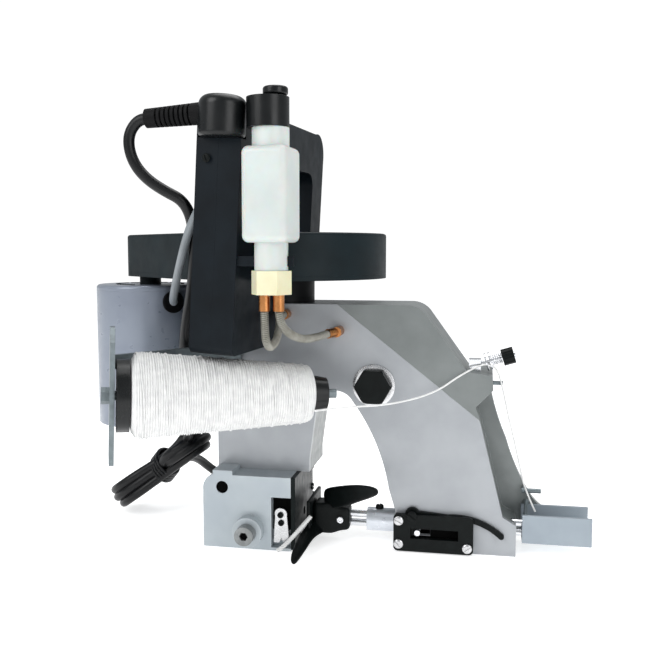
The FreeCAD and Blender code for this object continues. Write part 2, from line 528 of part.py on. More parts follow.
def build_motor():
    z0, z1 = MOTOR_Z0 + MOTOR_CAP_T, MOTOR_Z1 - MOTOR_CAP_T
    body = tube(V(MOTOR_X, MOTOR_Y, z0), V(MOTOR_X, MOTOR_Y, z1), MOTOR_R, MOTOR_R - 3)
    lead_dir = V(25.3, -25, 0).normalize()
    axis_point = V(MOTOR_X, MOTOR_Y, 167.0)
    seat = rod(axis_point + lead_dir * (MOTOR_R - 6), axis_point + lead_dir * (MOTOR_R + 6), 6)
    body = body.cut(seat)
    put("motor_body", body)
    top = upright(MOTOR_X, MOTOR_Y, z1, MOTOR_Z1, MOTOR_R)
    rim = [e for e in top.Edges if abs(e.CenterOfMass.z - MOTOR_Z1) < 0.01 and len(e.Vertexes) == 1]
    top = top.makeFillet(2.5, rim)
    top = top.cut(upright(MOTOR_X, MOTOR_Y, z1 - 1, MOTOR_Z1 + 1, MOTOR_SHAFT_R + FIT))
    bottom = upright(MOTOR_X, MOTOR_Y, MOTOR_Z0, z0, MOTOR_R)
    bottom = bottom.cut(upright(MOTOR_X, MOTOR_Y, MOTOR_Z0 + 1, z0 + 1, MOTOR_SHAFT_R + FIT))
    put("motor_end_caps", Part.makeCompound([top, bottom]))
    grommet = rod(axis_point + lead_dir * (MOTOR_R - 3.5), axis_point + lead_dir * (MOTOR_R + 2.5), 6)
    lip = rod(axis_point + lead_dir * (MOTOR_R + 0.7), axis_point + lead_dir * (MOTOR_R + 2.5), 8)
    put("motor_grommet", grommet.fuse(lip).removeSplitter())

    bracket = box(-80, LEG_X0, 12, 22, 108, 166)
    flange = box(-67.5, -65.5, -12, 22, 134, 174)
    bracket = bracket.fuse(flange).cut(upright(MOTOR_X, MOTOR_Y, 70, 180, MOTOR_R)).removeSplitter()
    put("motor_bracket", bracket)


def handle_place(shape):
    """From handle coordinates (u to the rear, w across) to the machine: the loop is turned about Z."""
    shape.rotate(V(0, 0, HANDLE_TOP - 9), V(0, 1, 0), HANDLE_LEAN)
    shape.rotate(V(0, 0, 0), V(0, 0, 1), HANDLE_TURN)
    shape.translate(V(HANDLE_X, HANDLE_Y, 0))
    return shape


def handle_outline(inset):
    """The D handle's side view: front column, lower arm, grip and rear leg."""
    t = inset
    u_arm = 92.0
    z_arm = NECK_Z1 - 3.0
    top = HANDLE_TOP
    z_leg = COVER_Z1 - 2 + t * 5 / 3
    points = [
        (t, COLUMN_Z0 + 5 + t), (t, top - 9 - t), (2.64 + t, top - 2.64 - t, 9 + t, top - t),
        (150 - t, top + 2 - t), (168 - t, top - 3 - t, REAR_LEG_U1 - t, top - 16 - t),
        (REAR_LEG_U1 - t, z_leg), (REAR_LEG_U0 + t, z_leg), (REAR_LEG_U0 + t, GRIP_Z0 - 12),
        (REAR_LEG_U0 - 3 + t, GRIP_Z0 - 3 + t, REAR_LEG_U0 - 12 + t, GRIP_Z0 + t),
        (COLUMN_D + 8 - t, GRIP_Z0 + t),
        (COLUMN_D + 2 - t, GRIP_Z0 - 2 + t, COLUMN_D - t, GRIP_Z0 - 8),
        (COLUMN_D - t, z_arm - t), (u_arm, z_arm - t), (u_arm, COLUMN_Z0 + t), (6 + t, COLUMN_Z0 + t),
        (1.5 + t, COLUMN_Z0 + 1.5 + t, t, COLUMN_Z0 + 5 + t),
    ]
    wire_points = [V(0, p[-2], p[-1]) for p in points]
    edges = []
    for i in range(1, len(points)):
        if len(points[i]) == 4:
            middle = V(0, points[i][0], points[i][1])
            edges.append(Part.Arc(wire_points[i - 1], middle, wire_points[i]).toShape())
        else:
            edges.append(Part.LineSegment(wire_points[i - 1], wire_points[i]).toShape())
    return Part.Face(Part.Wire(edges))


def build_handle():
    half = HANDLE_W / 2
    outer, inner = handle_outline(0), handle_outline(HANDLE_WALL)
    neighbours = box(-80, 80, -FRAME_HALF - COVER_T, 60, COLUMN_Z0 - 5, NECK_Z1).fuse(
        box(-80, 80, 20, 90, NECK_Z1, COVER_Z1))
    opening = box(-7.5, 7.5, TRIGGER_U0 - GAP, TRIGGER_U1 + GAP, GRIP_Z0 - 2,
                  GRIP_Z0 + HANDLE_WALL + 1)
    drum = upright(0.9, 2, HANDLE_TOP - 19.4, HANDLE_TOP + 5.3, CAP_R)
    shells = []
    for side in (-1, 1):
        skin = outer.extrude(V(side * half, 0, 0))
        pocket = inner.extrude(V(side * (half - HANDLE_WALL), 0, 0))
        keep_solid = box(-20, 20, 84, 100, COLUMN_Z0 - 5, NECK_Z1)
        shell = skin.cut(pocket.cut(keep_solid)).cut(opening).cut(drum)
        shells.append(handle_place(shell).cut(neighbours))
    # half ring on the right shell that steadies the oil bottle's lower neck from behind
    clip = upright(OIL_X, OIL_Y, CLIP_Z0, CLIP_Z1, NECK_LOW_R + 3.5)
    clip = clip.fuse(box(-8, OIL_X, OIL_Y, OIL_Y + 10, CLIP_Z0, CLIP_Z1))
    clip = clip.cut(upright(OIL_X, OIL_Y, CLIP_Z0 - 5, CLIP_Z1 + 5, NECK_LOW_R))
    clip = clip.cut(box(-20, 60, OIL_Y - 20, OIL_Y - 1, CLIP_Z0 - 5, CLIP_Z1 + 5))
    clip = clip.cut(handle_place(box(-half, half, 0, COLUMN_D, CLIP_Z0 - 20, CLIP_Z1 + 20)))
    shells[1] = shells[1].fuse(clip).removeSplitter()
    put("handle_shells", Part.makeCompound(shells))

    trigger = box(-7, 7, TRIGGER_U0, TRIGGER_U1, GRIP_Z0 - 11, GRIP_Z0 + 5)
    bottom = [e for e in trigger.Edges if max(v.Z for v in e.Vertexes) < GRIP_Z0 - 10.9]
    put("trigger", handle_place(trigger.makeFillet(3, bottom)))

    rims = [e for e in drum.Edges if len(e.Vertexes) == 1]
    high = [e for e in rims if e.CenterOfMass.z > HANDLE_TOP]
    cap = drum.makeFillet(6, high)
    low = [e for e in cap.Edges if len(e.Vertexes) == 1 and e.CenterOfMass.z < HANDLE_TOP - 19]
    put("handle_cap", handle_place(cap.makeFillet(3, low)))


def build_oil():
    """Oil bottle, cap with push knob, hex nut, brass fittings and two hoses."""
    bottle = box(-BOTTLE_S / 2, BOTTLE_S / 2, -BOTTLE_S / 2, BOTTLE_S / 2, BOTTLE_Z0, BOTTLE_Z1)
    bottle = bottle.makeFillet(4, bottle.Edges)
    necks = upright(0, 0, OIL_NUT_Z1, BOTTLE_Z0 + 5, NECK_LOW_R).fuse(
        upright(0, 0, BOTTLE_Z1 - 5, OIL_CAP_Z0, NECK_HIGH_R))
    bottle = bottle.fuse(necks)
    hollow = box(-BOTTLE_S / 2 + 1.5, BOTTLE_S / 2 - 1.5, -BOTTLE_S / 2 + 1.5, BOTTLE_S / 2 - 1.5,
                 BOTTLE_Z0 + 1.5, BOTTLE_Z1 - 1.5)
    hollow = hollow.makeFillet(3, hollow.Edges)
    bore = upright(0, 0, OIL_NUT_Z1 - 1, OIL_CAP_Z0 + 1, NECK_LOW_R - 2)
    bottle = bottle.cut(hollow.fuse(bore)).removeSplitter()
    bottle.rotate(V(0, 0, 0), V(0, 0, 1), OIL_TURN)
    bottle.translate(V(OIL_X, OIL_Y, 0))
    put("oil_bottle", bottle)

    cap = upright(OIL_CAP_X, OIL_Y, OIL_CAP_Z0, OIL_CAP_Z1, OIL_CAP_R)
    cap = cap.cut(upright(KNOB_X, OIL_Y, OIL_CAP_Z0 - 1, OIL_CAP_Z1 + 1, 3 + FIT))
    put("oil_cap", cap)
    knob = upright(KNOB_X, OIL_Y, OIL_CAP_Z1 + 1, OIL_CAP_Z1 + 6, KNOB_R)
    knob = knob.makeFillet(1.5, [e for e in knob.Edges if len(e.Vertexes) == 1])
    stem = upright(KNOB_X, OIL_Y, OIL_CAP_Z0 - 10, OIL_CAP_Z1 + 2, 3)
    put("pump_knob", knob.fuse(stem).removeSplitter())

    nut = hexagon(V(OIL_X, OIL_Y, OIL_NUT_Z0), V(OIL_X, OIL_Y, OIL_NUT_Z1), NUT_CORNERS)
    fittings = []
    for x in (OIL_X - FITTING_OFFSET, OIL_X + FITTING_OFFSET):
        nut = nut.cut(upright(x, OIL_Y, OIL_NUT_Z0 - 1, OIL_NUT_Z0 + 5, FITTING_R - 1))
        barb = upright(x, OIL_Y, OIL_NUT_Z0 - FITTING_H, OIL_NUT_Z0, FITTING_R)
        fittings.append(barb.fuse(upright(x, OIL_Y, OIL_NUT_Z0, OIL_NUT_Z0 + 5, FITTING_R - 1)))
    put("oil_nut", nut)
    front = -FRAME_HALF - COVER_T
    elbow = rod(V(47, front, 150), V(47, front - 12, 150), 3.5)
    elbow_arm = rod(V(47, front - 9, 150), V(*HOSE_B[-1]), 3.2)
    inlet = rod(V(10, front, 161), V(10, front - 8, 161), 3.5)
    fittings += [elbow.fuse(elbow_arm).removeSplitter(), inlet]
    put("oil_fittings", Part.makeCompound([f.removeSplitter() for f in fittings]))
    z_end = OIL_NUT_Z0 - FITTING_H
    put("oil_hose_a", cord_tube("oil_hose_a", HOSE_A, HOSE_R))
    put("oil_hose_b", cord_tube("oil_hose_b", HOSE_B, HOSE_R))
    assert abs(HOSE_A[0][2] - z_end) < 0.01 and abs(HOSE_B[0][2] - z_end) < 0.01


def build_spool():
    """Thread cone on a tilted spindle, its holders and the bracket that carries the spindle."""
    run = SPOOL_END - SPOOL_START
    length = run.Length
    spindle = along_x(-14, length + 16, SPINDLE_R)
    end_nut = hexagon(V(-14.5, 0, 0), V(-9.5, 0, 0), 10.5)
    plate = box(-9.5, -6.5, -15, 19.5, -40, 34)
    roof_points = [V(-9.5, y, z) for y, z in ((-15, 34), (19.5, 34), (6, 42), (-2, 42), (-15, 34))]
    roof = Part.Face(Part.makePolygon(roof_points))
    plate = plate.fuse(roof.extrude(V(3, 0, 0)))
    holder = placed(plate.fuse([spindle, end_nut]), SPOOL_START, V(run.x, run.y, 0))
    tilt = math.degrees(math.atan2(run.z, math.hypot(run.x, run.y)))
    across = V(-run.y, run.x, 0)
    holder.rotate(SPOOL_START, across, -tilt)
    foot = V(-34.0, -FRAME_HALF - COVER_T, 0)
    start = V(-85.5, -98.1, 0)
    arm_dir = (foot - start).normalize()
    side = V(-arm_dir.y, arm_dir.x, 0)
    end = foot + arm_dir * 6
    corners = [start + side * 1.5, end + side * 1.5, end - side * 1.5, start - side * 1.5]
    base = [V(c.x, c.y, 130) for c in corners]
    arm = Part.Face(Part.makePolygon(base + [base[0]])).extrude(V(0, 0, 9))
    pad = box(-39, -22, -FRAME_HALF - COVER_T - 3, -FRAME_HALF - COVER_T, 124, 140)
    arm = arm.fuse(pad).cut(box(-90, 60, -FRAME_HALF - COVER_T, 30, 100, 180))
    put("spool_bracket", holder.fuse(arm).removeSplitter())

    thread = cone(V(6.5, 0, 0), V(length - 4, 0, 0), CONE_R0, CONE_R1)
    left_end = cone(V(2.5, 0, 0), V(6.5, 0, 0), CONE_R0 - 4, CONE_R0)
    right_end = cone(V(length - 4, 0, 0), V(length, 0, 0), CONE_R1, CONE_R1 - 4)
    package = thread.fuse([left_end, right_end]).cut(along_x(-1, length + 1, 8)).removeSplitter()
    disc = along_x(-5.4, 2.5, 22.5).fuse(along_x(2.5, 16, 8))
    plug = cone(V(length, 0, 0), V(length + 9, 0, 0), 12, 10.5).fuse(along_x(length - 12, length, 8))
    holders = []
    for piece in (disc, plug):
        holders.append(piece.cut(along_x(-8, length + 12, SPINDLE_R + FIT)).removeSplitter())
    for name, piece in (("thread_cone", package), ("cone_holders", Part.makeCompound(holders))):
        piece = placed(piece, SPOOL_START, V(run.x, run.y, 0))
        piece.rotate(SPOOL_START, across, -tilt)
        put(name, piece)


def build_tension():
    """Thread tension: stud on the ledge, two discs, spring and a fluted knob, with wire guides."""
    angle = math.radians(TENSION_DEG)
    direction = V(math.cos(angle), 0, math.sin(angle))
    stud = placed(along_x(-2, 25, 2.0), TENSION_START, direction)
    block = box(134, 142, -15, -5, 121, 131).cut(outline_block_clearance())
    put("tension_post", block.fuse(stud).removeSplitter())
    discs = []
    for s in (4.5, 7.2):
        disc = along_x(s, s + 1.0, DISC_R).cut(along_x(s - 1, s + 3, 2.0))
        discs.append(placed(disc, TENSION_START, direction))
    put("tension_discs", Part.makeCompound(discs))
    spring = along_x(8.2, 15.5, 3.6).cut(along_x(8, 16, 2.6))
    put("tension_spring", placed(spring, TENSION_START, direction))
    knob = along_x(16, 24, 5.6).cut(along_x(15, 25.5, 2.0 + FIT))
    for i in range(10):
        flute = along_x(15, 25, 0.8)
        angle = math.radians(36 * i)
        flute.translate(V(0, 5.9 * math.cos(angle), 5.9 * math.sin(angle)))
        knob = knob.cut(flute)
    put("tension_knob", placed(knob, TENSION_START, direction))

    bracket = box(149, 157, -11, -5, 113.5, 115.5).cut(outline_block_clearance())
    guides = [
        bracket,
        rod(V(171, -2, 39), V(184, -2, 39), 1.6).fuse(rod(V(172.6, -2, 39), V(172.6, 4, 39), 1.6)),
        rod(V(173, -6, 12.5), V(174.5, -6, 34), 1.4).fuse(rod(V(174, -6, 30), V(174, 4, 30), 1.4)),
    ]
    put("thread_guides", Part.makeCompound([g.removeSplitter() for g in guides]))


def outline_block_clearance():
    return slab(outline(FRAME_POINTS), -FRAME_HALF, FRAME_HALF)


def build_guard():
    """Open channel that shields the rear end of the needle bar."""
    outer = box(171, 216, -24, 4, 9, 28)
    inner = box(170, 217, -22, 2, 11, 29)
    put("guard_channel", outer.cut(inner))


def build_cords():
    root, tip = V(*BOOT_ROOT), V(*BOOT_TIP)
    relief = cone(root, tip, BOOT_R + 0.4, BOOT_R - 0.6)
    run = (tip - root).normalize()
    for i in range(8):
        at = root + run * (9 + 3.0 * i)
        relief = relief.cut(tube(at, at + run * 1.1, BOOT_R + 2, CORD_R + 1.2))
    put("strain_relief", relief.cut(OUT["handle_cap"]).cut(OUT["handle_shells"]).Solids[0])
    mains = [cord_tube("mains_lead", MAINS, CORD_R), cord_tube("mains_tail", MAINS_TAIL, CORD_R)]
    put("mains_lead", Part.makeCompound(mains))
    put("motor_lead", cord_tube("motor_lead", MOTOR_LEAD, MOTOR_LEAD_R))
    put("sewing_thread", cord_tube("sewing_thread", THREAD, THREAD_R))
    put("thread_chain", cord_tube("thread_chain", CHAIN, CHAIN_R))

    hank = box(-48, 48, -21, 21, -8.5, 8.5)
    hank = hank.makeFillet(7.5, hank.Edges)
    hank.rotate(V(0, 0, 0), V(0, 1, 0), -35)
    hank.translate(V(-101, 22, 36.2))
    put("mains_hank", hank)

    body = box(-18, 18, -12, 12, 0, 17)
    body = body.makeFillet(4, body.Edges)
    nose = box(17, 22, -8, 8, 3, 14)
    pins = [rod(V(21, side * 5, 8.5), V(38, side * 5, 8.5), 2.0) for side in (-1, 1)]
    neck = cone(V(-18, 0, 8.9), V(-30, 0, 8.9), 6, 4)
    plug = body.fuse([nose, neck] + pins).removeSplitter()
    plug.rotate(V(0, 0, 0), V(0, 0, 1), -27)
    plug.translate(V(-36, 68, 0.1) + V(30 * math.cos(math.radians(27)), -30 * math.sin(math.radians(27)), 0))
    put("mains_plug", plug)


def pan_screw(seat, outward, head_r, head_h, shank_r, shank_l):
    """A slotted pan-head screw whose head stands on seat."""
    run = V(outward).normalize()
    head = rod(seat, seat + run * head_h, head_r)
    slot_tool = box(-0.5, 0.5, -head_r - 1, head_r + 1, 0, 3)
    slot_tool.Placement = FreeCAD.Placement(seat + run * (head_h - 1), FreeCAD.Rotation(V(0, 0, 1), run))
    shank = rod(seat - run * shank_l, seat, shank_r)
    return head.cut(slot_tool).fuse(shank).removeSplitter(), shank


def build_screws():
    front = -FRAME_HALF - COVER_T
    rear = FRAME_HALF + REAR_COVER_T
    table = []
    for x, z in ((-27.5, 122), (95.5, 122), (-27.5, 158), (95.5, 158)):
        table.append((V(x, rear, z), V(0, 1, 0), 3.5, 2.4, 1.8, 5, ["rear_cover", "frame_casting"]))
    for x, z in ((89, 6), (135, 5.5), (89, 22)):
        table.append((V(x, front - 6, z), V(0, -1, 0), 3.2, 1.2, 1.5, 9, ["lifter_plate", "front_cover"]))
    for x, z in ((9.4, 24.4), (9.8, 19)):
        table.append((V(x, -43, z), V(0, -1, 0), 2.1, 1.6, 1.1, 7, ["fixed_knife", "looper_head"]))
    for z in (46, 30):
        table.append((V(HEAD_X1 + THROAT_T, 11, z), V(1, 0, 0), 2.6, 1.4, 1.4, 6, ["throat_plate", "looper_head"]))
    table.append((V(74, BAR_Y, 16.8 + HOUSING_R), V(0, 0, 1), 2.8, 2.6, 1.2, 1.2, ["bar_housing"]))
    table.append((V(98, front - 6, 25.5), V(0, -1, 0), 3.4, 1.2, 2.0, 6, ["lifter_plate"]))
    screws = []
    for seat, outward, head_r, head_h, shank_r, shank_l, passes in table:
        screw, shank = pan_screw(seat, outward, head_r, head_h, shank_r, shank_l)
        screws.append(screw)
        drill(passes, shank)
    put("screws", Part.makeCompound(screws))


def export_all():
    os.makedirs("parts", exist_ok=True)
    for name, shape in OUT.items():
        solids = shape.Solids
        print(name, "solids", len(solids), "valid", shape.isValid(), "volume", round(shape.Volume, 1))
        result = solids[0] if len(solids) == 1 else Part.makeCompound(solids)
        result.exportStep("parts/" + name + ".step")


build_frame()
build_head()
build_bars()
build_lifter()
build_linkage()
build_shaft()
build_belt_cover()
build_motor()
build_handle()
build_oil()
build_spool()
build_tension()
build_guard()
build_cords()
build_screws()
export_all()
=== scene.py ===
import bpy
import math
from mathutils import Matrix, Quaternion, Vector


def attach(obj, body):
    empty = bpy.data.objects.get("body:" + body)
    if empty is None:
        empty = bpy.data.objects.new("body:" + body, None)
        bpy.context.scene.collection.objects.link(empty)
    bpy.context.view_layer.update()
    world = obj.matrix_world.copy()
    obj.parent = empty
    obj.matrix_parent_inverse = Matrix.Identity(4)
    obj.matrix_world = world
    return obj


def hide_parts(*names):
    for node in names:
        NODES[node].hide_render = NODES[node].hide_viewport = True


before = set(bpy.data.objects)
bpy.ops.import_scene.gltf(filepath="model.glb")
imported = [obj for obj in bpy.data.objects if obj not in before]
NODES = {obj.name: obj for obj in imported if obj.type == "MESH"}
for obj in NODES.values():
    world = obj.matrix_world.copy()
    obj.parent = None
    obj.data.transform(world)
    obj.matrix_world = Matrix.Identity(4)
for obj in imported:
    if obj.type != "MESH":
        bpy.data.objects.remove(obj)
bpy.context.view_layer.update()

MM = 0.001

# ---- camera -------------------------------------------------------------------------------
LENS_MM, SENSOR_MM = 46.52, 36.0
CAMERA_PLACE = (0.14603, -0.58664, 0.20465)
TURN, DIP = math.radians(11.0), math.radians(5.1)

camera_data = bpy.data.cameras.new("camera")
camera_data.lens = LENS_MM
camera_data.sensor_width = SENSOR_MM
camera = bpy.data.objects.new("camera", camera_data)
bpy.context.scene.collection.objects.link(camera)
bpy.context.scene.camera = camera
camera.location = CAMERA_PLACE
look = Vector((-math.sin(TURN) * math.cos(DIP), math.cos(TURN) * math.cos(DIP), -math.sin(DIP)))
camera.rotation_euler = look.to_track_quat("-Z", "Y").to_euler()


# ---- bench tools --------------------------------------------------------------------------
def clear_selection():
    if bpy.context.object and bpy.context.object.mode != "OBJECT":
        bpy.ops.object.mode_set(mode="OBJECT")
    bpy.ops.object.select_all(action="DESELECT")


def choose(piece):
    """Makes the piece the only one selected, and the active one."""
    clear_selection()
    bpy.context.view_layer.objects.active = piece
    piece.select_set(True)


def edit(piece):
    """Opens a piece in edit mode with nothing selected."""
    choose(piece)
    bpy.ops.object.mode_set(mode="EDIT")
    bpy.ops.mesh.select_all(action="DESELECT")


def select_none(mesh):
    """Takes the selection off every face, edge and corner of a mesh."""
    for group in (mesh.polygons, mesh.edges, mesh.vertices):
        group.foreach_set("select", [False] * len(group))


def pick(piece, test):
    """Selects the corners of a piece in edit mode whose places pass the test."""
    bpy.ops.object.mode_set(mode="OBJECT")
    select_none(piece.data)
    for corner in piece.data.vertices:
        corner.select = bool(test(corner.co))
    bpy.ops.object.mode_set(mode="EDIT")
    bpy.ops.mesh.select_mode(type="VERT")


def apply_all(piece):
    """Applies the piece's place and its modifiers."""
    choose(piece)
    bpy.ops.object.transform_apply(location=True, rotation=True, scale=True)
    for modifier in list(piece.modifiers):
        bpy.ops.object.modifier_apply(modifier=modifier.name)


def smooth(piece, degrees=35):
    """Shades the piece smooth, except over edges sharper than the angle."""
    choose(piece)
    bpy.ops.object.shade_smooth_by_angle(angle=math.radians(degrees))


def outward(piece):
    """Merges doubles and turns the faces outwards."""
    edit(piece)
    bpy.ops.mesh.select_all(action="SELECT")
    bpy.ops.mesh.remove_doubles(threshold=1e-6)
    bpy.ops.mesh.normals_make_consistent(inside=False)
    bpy.ops.object.mode_set(mode="OBJECT")


def finished(piece, name, material, body="root", instead_of=()):
    """Names a piece, gives it its finish and hangs it on its body."""
    piece.name = name
    piece.data.name = name
    piece.data.materials.clear()
    piece.data.materials.append(material)
    if instead_of:
        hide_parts(*instead_of)
    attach(piece, body)
    return piece


def lie_along(piece, start, direction, roll=0.0):
    """Stands a piece that was made along +Z at a point, along a direction."""
    turn = Vector(direction).normalized().to_track_quat("Z", "Y") @ Quaternion((0, 0, 1), roll)
    piece.data.transform(Matrix.Translation(Vector(start)) @ turn.to_matrix().to_4x4())
    piece.data.update()
    return piece


def turned(profile, sides=48):
    """A turned piece along +Z: a disc drawn out ring by ring. profile is (height, radius) in mm."""
    clear_selection()
    height, radius = profile[0]
    bpy.ops.mesh.primitive_circle_add(vertices=sides, radius=radius * MM, fill_type="NGON",
                                      location=(0, 0, 0))
    piece = bpy.context.object
    piece.data.transform(Matrix.Translation((0, 0, height * MM)))
    edit(piece)
    bpy.ops.mesh.select_all(action="SELECT")
    for next_height, next_radius in profile[1:]:
        rise = (0, 0, (next_height - height) * MM)
        bpy.ops.mesh.extrude_region_move(TRANSFORM_OT_translate={"value": rise})
        grow = next_radius / radius
        bpy.ops.transform.resize(value=(grow, grow, 1), center_override=(0, 0, next_height * MM))
        height, radius = next_height, next_radius
    bpy.ops.object.mode_set(mode="OBJECT")
    outward(piece)
    return piece


def block(low, high, bevel=0.0, segments=3, shape=None):
    """A box between two corners in mm, with its edges rounded."""
    clear_selection()
    bpy.ops.mesh.primitive_cube_add(size=1, location=(0, 0, 0))
    piece = bpy.context.object
    edit(piece)
    bpy.ops.mesh.select_all(action="SELECT")
    size = [(b - a) * MM for a, b in zip(low, high)]
    bpy.ops.transform.resize(value=size, center_override=(0, 0, 0))
    bpy.ops.transform.translate(value=[(a + b) / 2 * MM for a, b in zip(low, high)])
    if shape:
        shape(piece)
    if bevel:
        bpy.ops.mesh.select_mode(type="EDGE")
        bpy.ops.mesh.select_all(action="SELECT")
        bpy.ops.mesh.bevel(offset=bevel * MM, segments=segments, affect="EDGES")
    bpy.ops.object.mode_set(mode="OBJECT")
    return piece


def joined(pieces):
    """Joins pieces into the first of them."""
    clear_selection()
    for piece in pieces:
        piece.select_set(True)
    bpy.context.view_layer.objects.active = pieces[0]
    bpy.ops.object.join()
    return bpy.context.object


def carve(piece, tool):
    """Cuts the tool out of the piece and throws the tool away."""
    cut = piece.modifiers.new("cut", "BOOLEAN")
    cut.object = tool
    cut.operation = "DIFFERENCE"
    cut.solver = "EXACT"
    apply_all(piece)
    bpy.data.objects.remove(tool)


# ---- cords --------------------------------------------------------------------------------
def metres(points):
    return [Vector(p) * MM for p in points]


def cord_curve(name, points, radius):
    """One open smooth spline through the cord's route."""
    curve = bpy.data.curves.new(name, "CURVE")
    curve.dimensions = "3D"
    curve.resolution_u = 10
    curve.bevel_depth = radius
    curve.bevel_resolution = 5
    curve.use_fill_caps = True
    spline = curve.splines.new("NURBS")
    spline.points.add(len(points) - 1)
    for knot, place in zip(spline.points, points):
        knot.co = (*place, 1.0)
    spline.order_u = 3
    spline.use_endpoint_u = True
    cord = bpy.data.objects.new(name, curve)
    bpy.context.scene.collection.objects.link(cord)
    return cord


def line_of(points):
    """The line that a cord's spline follows."""
    bare = cord_curve("bare_line", points, 0.0)
    bpy.context.view_layer.update()
    mesh = bpy.data.meshes.new_from_object(bare)
    line = [v.co.copy() for v in mesh.vertices]
    bpy.data.objects.remove(bare)
    bpy.data.meshes.remove(mesh)
    return line


def length_of(points):
    line = line_of(points)
    return sum((b - a).length for a, b in zip(line, line[1:]))


def spaced(line, step):
    """Points a step apart along a line, with the directions there."""
    out, left = [], 0.0
    for a, b in zip(line, line[1:]):
        run = (b - a).length
        at = left
        while at < run:
            out.append((a.lerp(b, at / run), (b - a).normalized()))
            at += step
        left = at - run
    return out


def wound(line, radius, pitch, wire, per_turn=10, phase=0.0, name="winding", growth=None):
    """A wire wound round a line, as a mesh. growth(i) multiplies the radius at point i."""
    knots = []
    side = None
    for i, (place, run) in enumerate(spaced(line, pitch / per_turn)):
        if side is None:
            side = run.orthogonal().normalized()
        side = (side - run * side.dot(run)).normalized()
        other = run.cross(side)
        turn = 2 * math.pi * i / per_turn + phase
        reach = radius if growth is None else radius * growth(i)
        knots.append(place + (side * math.cos(turn) + other * math.sin(turn)) * reach)
    curve = bpy.data.curves.new(name, "CURVE")
    curve.dimensions = "3D"
    curve.resolution_u = 1
    curve.bevel_depth = wire
    curve.bevel_resolution = 1
    curve.use_fill_caps = True
    spline = curve.splines.new("POLY")
    spline.points.add(len(knots) - 1)
    for knot, place in zip(spline.points, knots):
        knot.co = (*place, 1.0)
    coil = bpy.data.objects.new(name, curve)
    bpy.context.scene.collection.objects.link(coil)
    choose(coil)
    bpy.ops.object.convert(target="MESH")
    coil = bpy.context.object
    smooth(coil, 60)
    return coil


MAINS_TOP = metres([
    (-50, -97.7, 284.7), (-58, -97.6, 284.4), (-65.5, -97.4, 283.2), (-71.3, -97.1, 275.5),
    (-71.6, -96.8, 266), (-67.8, -96.4, 256), (-60, -96, 247.4), (-49.5, -95, 240.6),
    (-39.6, -93.2, 235.6), (-34.9, -90, 226.5), (-34.2, -86, 212), (-36.2, -81, 197),
    (-42, -70.5, 178.5), (-50.5, -58, 159), (-57.8, -45, 138.5), (-61.3, -33.5, 115),
    (-63.8, -21, 93), (-68.5, -4, 73), (-77, 10, 60)])
MAINS_TAIL = metres([
    (-86, 34, 42), (-84, 54, 36), (-77, 70, 22), (-64, 77, 12), (-48, 75, 9), (-36, 68, 9)])
MOTOR_LEAD = metres([
    (-25, -99, 231.5), (-30.5, -99, 222.5), (-38, -92, 209), (-47, -77.5, 196), (-57, -60, 182),
    (-65.5, -43, 172), (-71.8, -26.5, 168), (-77.8, -9.9, 167)])
HOSE_A = metres([
    (15.5, -104, 168.4), (15.4, -103.5, 158), (15, -99, 149), (15.2, -90, 144.5), (16, -78, 147.5),
    (14.5, -64, 155), (11, -49, 160.5), (10, -34, 161)])
HOSE_B = metres([
    (24.3, -104, 168.4), (24.6, -103, 161.5), (27.5, -93, 154), (32, -76, 148.9), (36, -57, 147.8),
    (42, -42, 149.3)])
THREAD = metres([
    (40.5, -77.8, 104.2), (56, -63, 104.4), (84, -48, 104), (112, -34, 110), (131, -30, 124),
    (147.1, -13, 129.3), (153.5, -14, 124), (157, -13, 111), (160.5, -11, 94), (165.5, -8, 74),
    (169.5, -6.5, 56), (173, -6.2, 41), (180, -11, 27)])
CHAIN = metres([(28.8, -35.6, 22), (25, -42, 18), (18.5, -45.8, 10.5), (11.5, -48, 3.2), (8.6, -49.3, 1.6)])

HANK_MIDDLE = Vector((-101, 22, 36.2)) * MM
HANK_TURN = Matrix.Rotation(math.radians(-35), 3, "Y")


def in_hank(x, y, z):
    return HANK_MIDDLE + HANK_TURN @ (Vector((x, y, z)) * MM)


# each turn of the hank: half its width, its level, and the reach of its lower and upper ends
HANK_TURNS = [(12, 5.2, 40, 38), (18, 5.4, 43, 41), (18, 0.2, 44.5, 42), (12, -0.2, 38, 43),
              (12, -5.2, 41, 39), (18, -5.4, 43, 44)]
BEND_ANGLES = (80, 45, 15, -15, -45, -80)
TIE_X, TIE_DRAWS_IN, SIDE_DRAWS_IN = 2, 7.5, 1.5
BULGE = 0.62
FAN, AT_TIE, UPPER_SIDE, UPPER_BEND = 1.12, 0.98, 0.95, 0.92


def hank_turns():
    """Flat turns of differing size, drawn in where the tie holds them and fanned out at the lower end."""
    knots = [in_hank(37, -14, 10.5), in_hank(22, -10, 6.0)]
    for half, level, low_end, high_end in HANK_TURNS:
        low, high = low_end - half, high_end - half
        waist, side = half - TIE_DRAWS_IN, half - SIDE_DRAWS_IN
        knots.append(in_hank(TIE_X, -waist, level * AT_TIE))
        knots.append(in_hank(-low * BULGE, -side, level * FAN))
        for angle in reversed(BEND_ANGLES):
            turn = math.radians(angle)
            knots.append(in_hank(-low - half * math.cos(turn), half * math.sin(turn), level * FAN))
        knots.append(in_hank(-low * BULGE, side, level * FAN))
        knots.append(in_hank(TIE_X, waist, level * AT_TIE))
        knots.append(in_hank(high * BULGE, side, level * UPPER_SIDE))
        if (half, level, low_end, high_end) == HANK_TURNS[-1]:
            break
        for angle in BEND_ANGLES:
            turn = math.radians(angle)
            knots.append(in_hank(high + half * math.cos(turn), half * math.sin(turn), level * UPPER_BEND))
        knots.append(in_hank(high * BULGE, -side, level * UPPER_SIDE))
    return knots


